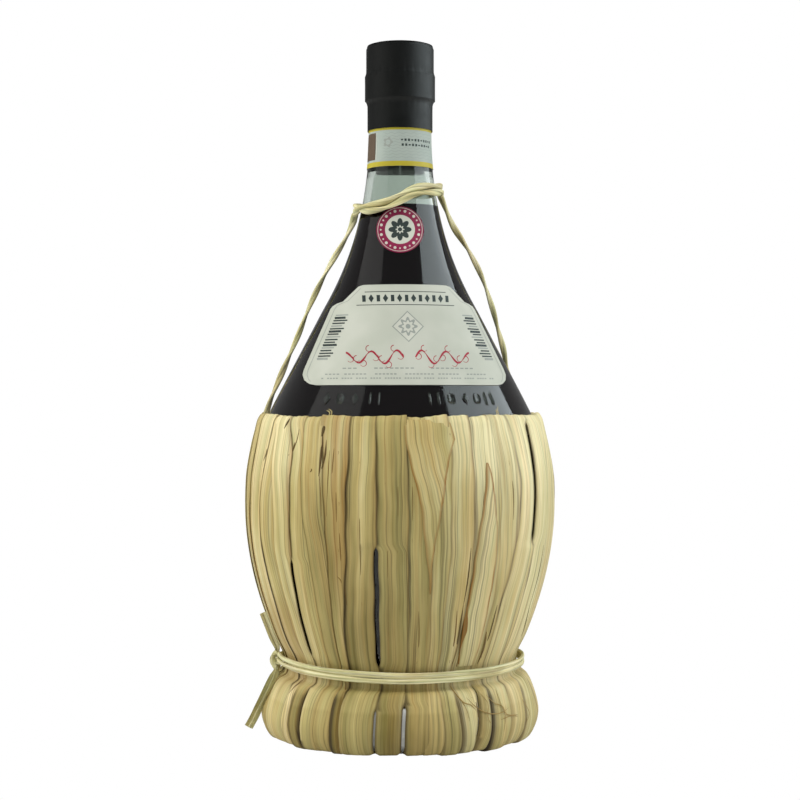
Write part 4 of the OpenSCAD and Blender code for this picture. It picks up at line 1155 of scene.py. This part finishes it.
# %% The marks of handling
MM_PER_M = 1000.0
handling_group, handling_in, handling_out = new_group(
    "handling_marks", [("Size mm", 6.0)], ["Marks", "Height"])
place = node(handling_group, "TexCoord").outputs["Object"]
size = handling_in.outputs["Size mm"]
marks = node(handling_group, "TexNoise", {
    "Vector": place, "Scale": maths(handling_group, "DIVIDE", MM_PER_M, size),
    "Detail": 4.0, "Roughness": 0.6})
handling_group.links.new(
    ranged(handling_group, marks.outputs["Fac"], 0.35, 0.65), handling_out.inputs["Marks"])
waves = node(handling_group, "TexNoise", {
    "Vector": place, "Scale": maths(handling_group, "DIVIDE", 220.0, size), "Detail": 1.0})
handling_group.links.new(waves.outputs["Fac"], handling_out.inputs["Height"])


def handled_material(name, specular, size_mm, dark, light, smooth, rough, bump_from, bump_mm, strength=1.0):
    """An opaque surface whose colour, gloss and relief vary a little with the marks of handling."""
    material, t, shader = new_material(name, Specular_IOR_Level=specular)
    wear = place_group(t, handling_group, {"Size mm": size_mm}).outputs
    t.links.new(mixed(t, wear["Marks"], dark, light), shader.inputs["Base Color"])
    t.links.new(ranged(t, wear["Marks"], 0, 1, smooth, rough), shader.inputs["Roughness"])
    bumped(t, shader, wear[bump_from], bump_mm, strength)
    return material


print("handling_marks gives Marks and Height")

# %% Glass
glass, t, shader = new_material(
    "pale bottle glass", Transmission_Weight=1.0, IOR=1.5, Base_Color=linear(193, 203, 195))
wear = place_group(t, handling_group, {"Size mm": 14.0}).outputs
t.links.new(ranged(t, wear["Marks"], 0, 1, 0.05, 0.11), shader.inputs["Roughness"])
bumped(t, shader, wear["Height"], 0.25, 0.6)
glass_mesh = make_mesh(*lathe(flask_profile), sharp=40)
add_piece("flask_glass", glass_mesh, glass, "glass", "flask")
print("glass:", len(glass_mesh.polygons), "faces")

# %% Wine
WINE_GAP = 0.12  # between the wine and the glass
wine, t, shader = new_material("red wine", Roughness=0.4, Specular_IOR_Level=0.0)
depth = node(t, "LayerWeight", {"Blend": 0.35}).outputs["Facing"]
t.links.new(mixed(t, depth, linear(14, 6, 10), linear(34, 8, 14)), shader.inputs["Base Color"])
wine_wall = np.array([off_glass(z, -WALL + WINE_GAP) for z in np.linspace(15.5, WINE_Z - 1.4, 130)])
wall_r = wine_wall[-1][0]
meniscus = [[wall_r + 0.05, WINE_Z - 0.2], [wall_r - 0.6, WINE_Z - 0.9],
            [wall_r - 1.6, WINE_Z - 1.2], [0, WINE_Z - 1.2]]
wine_profile = np.vstack([[[0, 19.8], [22, 14.2]], wine_wall, meniscus])
add_piece("wine_body", make_mesh(*lathe(wine_profile, around=96), sharp=40), wine, "wine", "wine")
print("wine stands at", WINE_Z, "mm")

# %% [markdown]
# ## Capsule
# A thin dark sleeve is crimped over the mouth: it shows the lip and the string ring
# through itself as soft steps, with small crimp wrinkles over and under the ring. The top
# comes off along a cut under the ring and rides on its own body, the skirt stays.

# %% Foil and crimping
CAP_GAP, FOIL = 0.15, 0.35
cap_lip, cap_ring, skirt_r = LIP_R + CAP_GAP + FOIL, STRING_R + CAP_GAP + FOIL, NECK_R + 0.4 + FOIL


def crimped(verts, low, high, depth, count):
    """Press small uneven wrinkles into the sleeve between two heights."""
    v = verts.copy()
    az = np.arctan2(v[:, 0], -v[:, 1])
    band = smooth_step((v[:, 2] - low) / 1.5) * smooth_step((high - v[:, 2]) / 1.5)
    dent = depth * band * (0.55 * np.sin(az * count + 0.8 * np.sin(az * 3))
                           + 0.45 * np.sin(az * (count * 2 + 5) + 2))
    r = np.hypot(v[:, 0], v[:, 1])
    by_axis = r <= 5
    for k in (0, 1):
        v[:, k] = np.where(by_axis, v[:, k], v[:, k] * (r + dent) / r)
    return v


def finer(profile):
    """A profile with two more points between each two."""
    return through(np.pad(profile, ((0, 0), (0, 1))), 3)[:, :2]


foil = handled_material("satin capsule", 0.26, 9.0, linear(5, 7, 6), linear(9, 11, 10),
                        0.44, 0.56, "Height", 0.8, 0.8)
print("satin foil", FOIL, "mm thick")

# %% Capsule top
top_profile = rounded([
    (0, LIP_Z + 0.48), (cap_lip, LIP_Z + 0.48, 2.6), (cap_lip, RING_TOP_Z + 1.6, 1.0),
    (cap_ring, RING_TOP_Z + 0.2, 1.0), (cap_ring, RING_LOW_Z + 0.05, 0.8),
    (cap_ring - FOIL, RING_LOW_Z + 0.05), (cap_ring - FOIL, RING_TOP_Z, 0.6),
    (cap_lip - FOIL, RING_TOP_Z + 1.2, 0.6), (cap_lip - FOIL, LIP_Z + 0.15, 1.2), (0, LIP_Z + 0.15)], 8)
verts, faces, uv = lathe(finer(top_profile))
top_mesh = make_mesh(crimped(verts, RING_TOP_Z - 1.5, RING_TOP_Z + 3.5, 0.07, 23), faces, uv, sharp=50)
add_piece("capsule_top_foil", top_mesh, foil, "foil", "capsule_top", body="capsule")
print("capsule top at", round(cap_ring, 2), "mm radius")

# %% Capsule skirt
SKIRT_LOW = RING_LOW_Z - 13
skirt_profile = rounded([
    (skirt_r - FOIL, SKIRT_LOW), (skirt_r, SKIRT_LOW, 0.1), (skirt_r, RING_LOW_Z - 2.2, 1.2),
    (cap_ring - 0.15, RING_LOW_Z - 0.2, 0.4), (cap_ring - FOIL - 0.15, RING_LOW_Z - 0.2),
    (skirt_r - FOIL, RING_LOW_Z - 2.2, 1.0), (skirt_r - FOIL, SKIRT_LOW + 0.1)])
verts, faces, uv = lathe(finer(skirt_profile), closed=True)
skirt_mesh = make_mesh(crimped(verts, RING_LOW_Z - 5, RING_LOW_Z, 0.06, 31), faces, sharp=50)
add_piece("capsule_skirt_foil", skirt_mesh, foil, "foil", "capsule_skirt")
print("capsule skirt at", round(skirt_r, 2), "mm radius")

# %% [markdown]
# ## Papers
# The neck strip, the round seal and the shouldered front label are printed paper
# pasted on a double curve. A picture texture isn't allowed here and wouldn't bend
# to the cone by itself, so each print is made of thin inked shapes laid on the same
# cone as the paper. The designs are made up: ruled lines, a rosette, a vine and a
# lozenge, in the colours and at the scale that such labels have.

# %% Paper
paper_group, paper_in, paper_out = new_group("paper_fibre", [("Fleck mm", 0.8)], ["Mottle", "Height"])
place = node(paper_group, "TexCoord").outputs["Object"]
fleck = node(paper_group, "TexNoise", {
    "Vector": place, "Scale": maths(paper_group, "DIVIDE", MM_PER_M, paper_in.outputs["Fleck mm"]),
    "Detail": 5.0, "Roughness": 0.7})
cloud = node(paper_group, "TexNoise", {"Vector": place, "Scale": 60.0, "Detail": 2.0})
paper_group.links.new(ranged(paper_group, cloud.outputs["Fac"], 0.35, 0.65), paper_out.inputs["Mottle"])
paper_group.links.new(fleck.outputs["Fac"], paper_out.inputs["Height"])


def printed_paper(name, pale, dull, roughness=0.7):
    material, t, shader = new_material(name, Specular_IOR_Level=0.3)
    fibre = place_group(t, paper_group, {"Fleck mm": 0.8}).outputs
    t.links.new(mixed(t, fibre["Mottle"], dull, pale), shader.inputs["Base Color"])
    gloss = ranged(t, fibre["Height"], 0.3, 0.7, roughness - 0.06, roughness + 0.06)
    t.links.new(gloss, shader.inputs["Roughness"])
    bumped(t, shader, fibre["Height"], 0.04)
    return material


label_paper = printed_paper("cream label paper", linear(183, 186, 174), linear(173, 177, 164))
strip_paper = printed_paper("grey green strip paper", linear(160, 170, 162), linear(148, 160, 152))
seal_paper = printed_paper("crimson seal paper", linear(132, 26, 66), linear(116, 20, 56))
inks = {name: printed_paper(name + " ink", linear(*pale), linear(*dull), 0.62) for name, pale, dull in (
    ("green black", (46, 56, 54), (38, 46, 46)), ("soft grey", (146, 152, 144), (134, 140, 134)),
    ("wine red", (160, 44, 60), (146, 38, 54)), ("mustard", (176, 164, 50), (164, 150, 38)),
    ("brown", (88, 74, 60), (78, 66, 54)), ("pale", (192, 194, 182), (182, 184, 172)))}
print(len(inks), "inks")

# %% Laying flat shapes on the cone
def on_front(x, z, d):
    """The point d outside the glass whose front view is (x, z)."""
    x, z = np.asarray(x, float), np.asarray(z, float)
    p = off_glass(z, np.broadcast_to(d, z.shape))
    r = p[..., 0]
    return np.stack([x, -np.sqrt(np.maximum(r * r - x * x, 0.01)), p[..., 1]], -1)


print("cone at the label: radius", round(float(glass_r(170.0)), 1), "mm")

# %% Front label
LABEL_LOW, LABEL_HIGH = 150.5, 192.5
LABEL_TURN = 5.0  # degrees: it was pasted a little right of the middle
LABEL_IN, LABEL_OUT, INK_UP = 0.1, 0.33, 0.025  # the paper's two faces off the glass, and the ink's over it
label_outline = np.array([  # half width and height over the lower edge
    (37.6, 0.0), (40.3, 0.6), (42.2, 2.2), (42.8, 4.4), (42.2, 6.6), (30.8, 32.2), (29.8, 33.5), (28.0, 34.5),
    (25.7, 35.2), (24.7, 36.2), (20.5, 40.3), (19.3, 41.4), (17.4, 42.0)])
label_z = LABEL_LOW + label_outline[:, 1]


def half_label(z):
    return np.interp(z, label_z, label_outline[:, 0])


def turned(points, degrees):
    """Points turned round the flask's axis."""
    c, s = math.cos(math.radians(degrees)), math.sin(math.radians(degrees))
    x, y = points[..., 0], points[..., 1]
    return np.stack([c * x - s * y, s * x + c * y, points[..., 2]], -1)


z_rows = np.unique(np.concatenate([np.linspace(LABEL_LOW, LABEL_HIGH, 60), label_z]))
x = np.linspace(-1, 1, 61)[None] * half_label(z_rows)[:, None]
zz = np.broadcast_to(z_rows[:, None], x.shape)
verts, faces = closed_sheet(on_front(x, zz, LABEL_OUT), on_front(x, zz, LABEL_IN))
label_mesh = make_mesh(turned(verts, LABEL_TURN), faces, sharp=50)
add_piece("front_label_sheet", label_mesh, label_paper, "label_paper", "front_label")
print("label", LABEL_HIGH - LABEL_LOW, "mm high")

# %% Inked strokes
LAYER_UP = 0.014  # an ink that lies over another one stands this much higher


class Print:
    """Gathers thin ink shapes on one paper, so that each ink is one mesh."""

    def __init__(self, name, lay):
        self.name, self.lay, self.parts = name, lay, {}

    def stroke(self, ink, points, width, closed=False, layer=0):
        p = np.asarray(points, float)
        if closed:
            p = np.vstack([p, p[:1]])
        d = np.gradient(p, axis=0)
        d /= np.maximum(np.linalg.norm(d, axis=1, keepdims=True), 1e-9)
        if closed:
            d[0] = d[-1] = (d[0] + d[-1]) / 2
        side = np.stack([-d[:, 1], d[:, 0]], -1) * (np.broadcast_to(width, len(p))[:, None] / 2)
        grid = np.stack([p - side, p + side], 1).reshape(-1, 2)
        self.add(ink, grid, [[2 * k, 2 * k + 1, 2 * k + 3, 2 * k + 2] for k in range(len(p) - 1)], layer)

    def disc(self, ink, centre, radius_at, points=32, hole=0.0, layer=0):
        """A filled shape round a centre; its radius is a number, or a function of the angle."""
        a = np.linspace(0, 2 * math.pi, points, endpoint=False)
        r = radius_at(a) if callable(radius_at) else np.full(points, float(radius_at))
        c = np.asarray(centre, float)
        ring = np.stack([np.cos(a), np.sin(a)], -1)
        rings = max(4, int(r.max() * 1.8))  # enough to follow the cone
        shares = np.linspace(0.0 if hole else 0.02, 1.0, rings)
        grid = np.concatenate([c + ring * (hole + (r - hole) * share)[:, None] for share in shares])
        self.add(ink, grid, ring_faces(rings, points), layer)

    def add(self, ink, grid, faces, layer):
        flat = np.column_stack([grid, np.full(len(grid), LAYER_UP * layer)])
        self.parts.setdefault(ink, []).append((flat, faces))

    def done(self, slot):
        """Make one piece of each ink, and say which."""
        for ink, parts in self.parts.items():
            flat, faces = joined(parts)
            mesh = make_mesh(self.lay(flat[:, 0], flat[:, 1], flat[:, 2]), faces)
            add_piece(f"{self.name}_{ink.replace(' ', '_')}", mesh, inks[ink], slot)
        print(self.name, "in", list(self.parts))


print("each ink is one mesh")

# %% Shapes for the prints
def arc(a0, a1, radius, centre, steps):
    a = np.radians(np.linspace(a0, a1, steps))
    return np.stack([centre[0] + radius * np.cos(a), centre[1] + radius * np.sin(a)], -1)


def lozenge(radius):
    return lambda a: radius * (1 / (np.abs(np.cos(a)) + np.abs(np.sin(a))))


def rosette(radius, petals, depth):
    return lambda a: radius * (1 + depth * np.cos(petals * a))


print("arcs, lozenges and rosettes")

# %% The label's print
label_print = Print(
    "label_print", lambda x, z, up: turned(on_front(x, z, LABEL_OUT + INK_UP + up), LABEL_TURN))
INSET, HEAD_Z, STEM_Z, MIDDLE_Z = 1.5, 186.6, 161.8, 174.6
frame_z = np.linspace(LABEL_LOW + INSET, LABEL_HIGH - INSET, 90)
right_side = np.stack([half_label(frame_z) - INSET * 1.15, frame_z], -1)
label_print.stroke("soft grey", np.vstack([right_side, right_side[::-1] * [-1, 1]]), 0.22, closed=True)


def rule(ink, z, x0, x1, wide):
    x = np.linspace(x0, x1, max(4, int(abs(x1 - x0))))
    label_print.stroke(ink, np.stack([x, z + 0 * x], -1), wide)


for k in range(13):  # a frieze of lozenges and bars across the head panel
    x = (k - 6) * 2.9
    if k % 2:
        label_print.disc("green black", (x, HEAD_Z),
                         lambda a: 1.75 / (np.abs(np.cos(a)) * 1.6 + np.abs(np.sin(a))))
    else:
        rule("green black", HEAD_Z, x - 0.7, x + 0.7, 2.8)
rule("green black", HEAD_Z + 2.8, -17, 17, 0.3)
rule("green black", HEAD_Z - 2.8, -20.5, 20.5, 0.3)
for side in (-1, 1):
    for k in range(17):  # ladders of short bars beside the middle
        z = 161.4 + 1.15 * k
        x = half_label(z) - 3.3
        rule("green black" if k % 4 else "soft grey", z,
             side * (x - 4.3 - (k % 3) * 0.6), side * x, 0.6 if k % 5 else 0.95)
    s = np.linspace(0, 1, 120)  # a vine on both sides of the middle
    vine = np.stack([side * (2.5 + 23 * s), STEM_Z + 2.9 * np.sin(s * 14) * (1 - 0.3 * s)], -1)
    label_print.stroke("wine red", vine, 0.24 + 0.6 * np.abs(np.sin(s * 14 + 0.6)), layer=1)
    for k in range(9):
        root = vine[6 + k * 13]
        curl = arc(90, 330 if k % 2 else -150, 1.25, root + [0, 1.5 if k % 2 else -1.5], 20)
        label_print.stroke("wine red", curl, np.linspace(0.35, 0.15, 20), layer=1)
for z, half, dash in ((157.3, 27, 1.1), (154.9, 34, 0.8), (153.2, 35.5, 0.6)):  # rows of small dashes
    for x in np.arange(-half, half, 1.9 * dash):
        if int(x * 7) % 5:
            rule("soft grey", z, x, x + 1.3 * dash, 0.55)
for layer, (ink, edge) in enumerate((  # a star in a diamond
        ("soft grey", lozenge(6.6)), ("pale", lozenge(6.0)), ("soft grey", rosette(3.3, 8, 0.22)),
        ("pale", rosette(2.2, 8, 0.2)), ("soft grey", 1.0))):
    label_print.disc(ink, (0, MIDDLE_Z), edge, 96, layer=layer)
label_print.done("label_paper")

# %% Neck strip
STRIP_TOP = SKIRT_LOW + 1.6
STRIP_LOW = STRIP_TOP - 18.6
STRIP_IN, STRIP_OUT, STRIP_SHUT, STRIP_R = 0.1, 0.25, 179.6, 13.6
z, az = np.linspace(STRIP_LOW, STRIP_TOP, 13), np.linspace(-STRIP_SHUT, STRIP_SHUT, 161)[None]
outside, inside = (off_glass(z, np.full_like(z, d)) for d in (STRIP_OUT, STRIP_IN))
verts, faces = closed_sheet(*(round_point(p[:, :1], az, p[:, 1:2]) for p in (outside, inside)))
add_piece("neck_strip_paper", make_mesh(verts, faces, sharp=50), strip_paper, "strip_paper", "neck_strip")


def on_neck(along, z, up):
    """Along is millimetres round the neck from the front."""
    p = off_glass(z, np.full_like(z, STRIP_OUT + 0.02) + up)
    return round_point(p[..., 0], along / STRIP_R * 180 / math.pi, p[..., 1])


strip_print = Print("strip_print", on_neck)
round_neck = np.linspace(-42.2, 42.2, 200)
for z, wide in ((STRIP_LOW + 1.05, 2.1), (RING_LOW_Z - 13.9, 1.3)):  # a border below and above
    strip_print.stroke("mustard", np.stack([round_neck, z + 0 * round_neck], -1), wide)
middle = (STRIP_LOW + 2.1 + RING_LOW_Z - 14.5) / 2
for x0 in (-16.2, 30.0):  # a dark block with a rosette
    block = np.stack([np.linspace(x0 - 4.6, x0 + 4.6, 20), np.full(20, middle)], -1)
    strip_print.stroke("brown", block, 11.6)
    edge = [[x0 + 5.1, middle - 5.7], [x0 + 5.1, middle], [x0 + 5.1, middle + 5.7]]
    strip_print.stroke("pale", edge, 0.35, layer=1)
    strip_print.disc("pale", (x0, middle), rosette(3.0, 8, 0.12), 48, layer=1)
    strip_print.disc("brown", (x0, middle), rosette(1.3, 4, 0.25), layer=2)
for k in range(9):  # fine waves
    x = np.linspace(-7.6, 26.4, 160)
    z = middle - 5.2 + 1.3 * k + 0.28 * np.sin(x * 1.9 + k * 1.1)
    strip_print.stroke("soft grey", np.stack([x, z], -1), 0.13)
for row, z in enumerate((middle + 2.3, middle + 0.2)):  # two rows of dots over them
    for k in range(11 - row):
        x = 0.4 + k * 1.5 + 0.3 * row
        wide = 1.05 if (k * 7 + row) % 3 else 0.6
        strip_print.stroke("green black", np.stack([[x, x + 0.9], [z, z]], -1), wide, layer=1)
strip_print.disc("soft grey", (-5.2, middle + 1.4), rosette(1.9, 5, 0.2), 48, hole=1.1, layer=1)
strip_print.done("strip_paper")
print("strip from", round(STRIP_LOW, 1), "to", round(STRIP_TOP, 1))

# %% Neck seal
SEAL_Z, SEAL_R, SEAL_IN, SEAL_OUT, DOTS_R = CONE_Z + 35.2, 10.0, 0.1, 0.5, 8.15
rings, a = np.linspace(0, 1, 18), np.linspace(0, 2 * math.pi, 96, endpoint=False)
x, z = SEAL_R * rings[:, None] * np.sin(a), SEAL_Z + SEAL_R * rings[:, None] * np.cos(a)
x[0], z[0] = 0.03 * np.sin(a), SEAL_Z + 0.03 * np.cos(a)
verts = np.concatenate([on_front(x, z, SEAL_OUT), on_front(x, z, SEAL_IN)[::-1]])
faces = ring_faces(len(verts), len(a)) + end_caps(len(verts), len(a))
seal_mesh = make_mesh(verts.reshape(-1, 3), faces, sharp=50)
add_piece("neck_seal_paper", seal_mesh, seal_paper, "seal_paper", "neck_seal")
seal_print = Print("seal_print", lambda x, z, up: on_front(x, z, SEAL_OUT + 0.02 + up))
here = (0, SEAL_Z)
for layer, (ink, edge, points) in enumerate((  # a rosette in a ring of dots
        ("pale", 6.3, 72), ("green black", lambda a: 4.9 * (0.62 + 0.38 * np.abs(np.cos(4 * a))), 96),
        ("pale", lambda a: 1.9 * (0.8 + 0.2 * np.cos(8 * a)), 64), ("green black", 0.9, 32))):
    seal_print.disc(ink, here, edge, points, layer=layer)
for k in range(24):
    a = math.radians(k * 15)
    dot = (DOTS_R * math.sin(a), SEAL_Z + DOTS_R * math.cos(a))
    seal_print.disc("pale", dot, 0.62 if k % 2 else 0.36, 12)
seal_print.stroke("pale", arc(0, 354, 9.4, here, 90), 0.22, closed=True)
seal_print.done("seal_paper")
print("seal", 2 * SEAL_R, "mm across")

# %% [markdown]
# ## Relief on the shoulder
# Blown flasks carry small raised marks just above the jacket. Here they are plain lozenges,
# open rings and bars, fused to the glass, so they are the same glass and ride with it.

# %% Raised marks
MARKS_Z, MARKS_R, MARK_POINTS = 145.0, 52, 28
MARK_SIZES = ((3.4, 5.0), (3.4, 4.2), (0.9, 5.4))  # width and height of a lozenge, a ring and a bar
LOZENGE, RING, BAR = 0, 1, 2
parts = []
for azimuth, kind in ((-34, LOZENGE), (-27, RING), (-20, LOZENGE), (-13, BAR), (-9, BAR), (13, BAR),
                      (17, BAR), (23, RING), (30, LOZENGE), (36, RING), (41, BAR), (45, BAR)):
    wide, high = MARK_SIZES[kind]
    a = np.linspace(0, 2 * math.pi, MARK_POINTS, endpoint=False)
    power = 1 if kind == LOZENGE else 3
    shape = (np.abs(np.cos(a)) ** power + np.abs(np.sin(a)) ** power) ** (-1 / power)
    levels = []
    for step, up in ((1.0, -0.15), (1.0, 0.12), (0.84, 0.6), (0.55, 0.8), (0.02, 0.84)):
        s = shape * step * 0.5
        if kind == RING and step < 0.6:
            up = 0.12  # its middle lies low
        z = MARKS_Z + high * s * np.sin(a)
        p = off_glass(z, np.full_like(z, up))
        levels.append(round_point(p[:, 0], azimuth + wide * s * np.cos(a) / MARKS_R * 180 / math.pi, p[:, 1]))
    faces = ring_faces(len(levels), MARK_POINTS) + end_caps(len(levels), MARK_POINTS)
    parts.append((np.concatenate(levels), faces))
relief_mesh = make_mesh(*joined(parts), sharp=60)
add_piece("raised_marks", relief_mesh, glass, "glass")
print("relief:", len(relief_mesh.polygons), "faces")

# %% [markdown]
# ## The CAD's own pieces
# Three CAD nodes keep their shape: the base ring, which shows as a pale line in the
# slits below the tie and from underneath, the hoop inside the rim, and the cork.
# They only need a finish, which goes into their objects' material slots.

# %% Moulded plastic, cane and cork
plastic = handled_material("pale moulded plastic", 0.45, 5.0, linear(206, 208, 204), linear(222, 223, 219),
                           0.38, 0.52, "Marks", 0.03)
cane = handled_material("split cane", 0.35, 3.0, linear(136, 104, 58), linear(176, 146, 92),
                        0.55, 0.7, "Marks", 0.05)
cork_bark, t, shader = new_material("natural cork", Specular_IOR_Level=0.25)
place = node(t, "TexCoord").outputs["Object"]
pores = node(t, "TexVoronoi", {"Vector": place, "Scale": 700.0}, feature="F1").outputs["Distance"]
wear = place_group(t, handling_group, {"Size mm": 2.5})
bark = mixed(t, wear.outputs["Marks"], linear(186, 144, 98), linear(206, 168, 122))
pored = mixed(t, ranged(t, pores, 0.12, 0.3, 0.75, 0.0), bark, linear(110, 74, 44))
t.links.new(pored, shader.inputs["Base Color"])
t.links.new(ranged(t, pores, 0, 0.6, 0.85, 0.7), shader.inputs["Roughness"])
bumped(t, shader, pores, 0.15)

for node_name, finish in (("base_ring", plastic), ("rim_hoop", cane), ("cork", cork_bark)):
    for material_slot in bpy.data.objects[node_name].material_slots:
        material_slot.material = finish
    print(node_name, "takes", finish.name)

# %% [markdown]
# ## Light and ground
# A bottle is lit with two tall soft boxes, left and right: they leave the two pale
# bands down the dark glass and keep its middle black. Four more panels, which the
# glass doesn't mirror, light the leaves from the sides, from above and from behind.
# The background is pure white to the camera and to anything seen through the neck,
# while reflections see a dim grey room, as they do in a real studio.

# %% World and floor
AMBIENT, MIRRORED = 0.38, 0.22  # the room as it lights the leaves, and as the glass mirrors it
FLOOR_HALF, FLOOR_DROP = 6, 0.0005  # in metres; the floor lies just under the foot


def camera_rays(tree):
    """The ray's kind, and 1 for a ray from the camera, also after it has passed through glass."""
    rays = node(tree, "LightPath").outputs
    return rays, maths(tree, "MAXIMUM", rays["Is Camera Ray"], rays["Is Transmission Ray"])


world = bpy.data.worlds.new("studio")
bpy.context.scene.world = world
world.use_nodes = True
t = world.node_tree
background = t.nodes["Background"]
rays, seen = camera_rays(t)
dim = maths(t, "SUBTRACT", AMBIENT, maths(t, "MULTIPLY", rays["Is Glossy Ray"], AMBIENT - MIRRORED))
t.links.new(maths(t, "MAXIMUM", seen, dim), background.inputs["Strength"])
background.inputs["Color"].default_value = (1, 1, 1, 1)

floor_mesh = bpy.data.meshes.new("floor")
floor_mesh.from_pydata([(x * FLOOR_HALF, y * FLOOR_HALF, -FLOOR_DROP)
                        for x, y in ((-1, -1), (1, -1), (1, 1), (-1, 1))], [], [(0, 1, 2, 3)])
floor = bpy.data.objects.new("floor", floor_mesh)
bpy.context.collection.objects.link(floor)
floor_paint = bpy.data.materials.new("white sweep")
floor_paint.use_nodes = True
t = floor_paint.node_tree
t.nodes.clear()
rays, seen = camera_rays(t)
glow = node(t, "Emission", {"Color": (1, 1, 1, 1), "Strength": 1.0})
paint = node(t, "BsdfDiffuse", {"Color": (0.72, 0.72, 0.70, 1)})
choose = node(t, "MixShader", {0: seen, 1: paint.outputs[0], 2: glow.outputs[0]})
node(t, "OutputMaterial", {"Surface": choose.outputs[0]})
floor_mesh.materials.append(floor_paint)
bpy.context.scene.view_settings.view_transform = "Standard"
bpy.context.scene.view_settings.look = "None"
print("white to the camera, grey to reflections")

# %% Soft boxes
COOL, NEUTRAL, WARM = (0.86, 0.97, 1.0), (0.97, 0.99, 1.0), (1.0, 0.99, 0.96)


def soft_box(name, azimuth, distance, low, high, wide, radiance, colour=(1, 1, 1),
             mirrored=True, lights_leaves=True, tilt=0.0):
    """An upright panel at an azimuth from the front, facing the flask; sizes in metres."""
    data = bpy.data.lights.new(name, "AREA")
    data.shape, data.size, data.size_y = "RECTANGLE", wide, high - low
    data.energy, data.color = radiance * math.pi * wide * (high - low), colour
    box = bpy.data.objects.new(name, data)
    a = math.radians(azimuth)
    box.location = (distance * math.sin(a), -distance * math.cos(a), (low + high) / 2)
    box.rotation_euler = (math.pi / 2 - tilt, 0, a)
    box.visible_camera = False
    box.visible_transmission = False
    box.visible_glossy = mirrored
    box.visible_diffuse = lights_leaves
    bpy.context.collection.objects.link(box)


soft_box("box_right", 88, 1.25, -0.1, 2.0, 1.75, 3.3, COOL, lights_leaves=False)
soft_box("box_left", -70, 1.25, -0.1, 1.9, 1.25, 0.62, WARM, lights_leaves=False)
soft_box("right_fill", 80, 1.3, 0.25, 1.9, 1.4, 2.4, NEUTRAL, mirrored=False)
soft_box("left_fill", -80, 1.3, 0.3, 1.7, 1.2, 4.1, WARM, mirrored=False)
soft_box("top_fill", 0, 0.6, 1.2, 1.9, 1.2, 4.0, mirrored=False, tilt=1.05)
soft_box("back_fill", 170, 1.4, 0.1, 1.6, 1.4, 1.4, mirrored=False)
print("two soft boxes for the glass and four fills for the leaves")
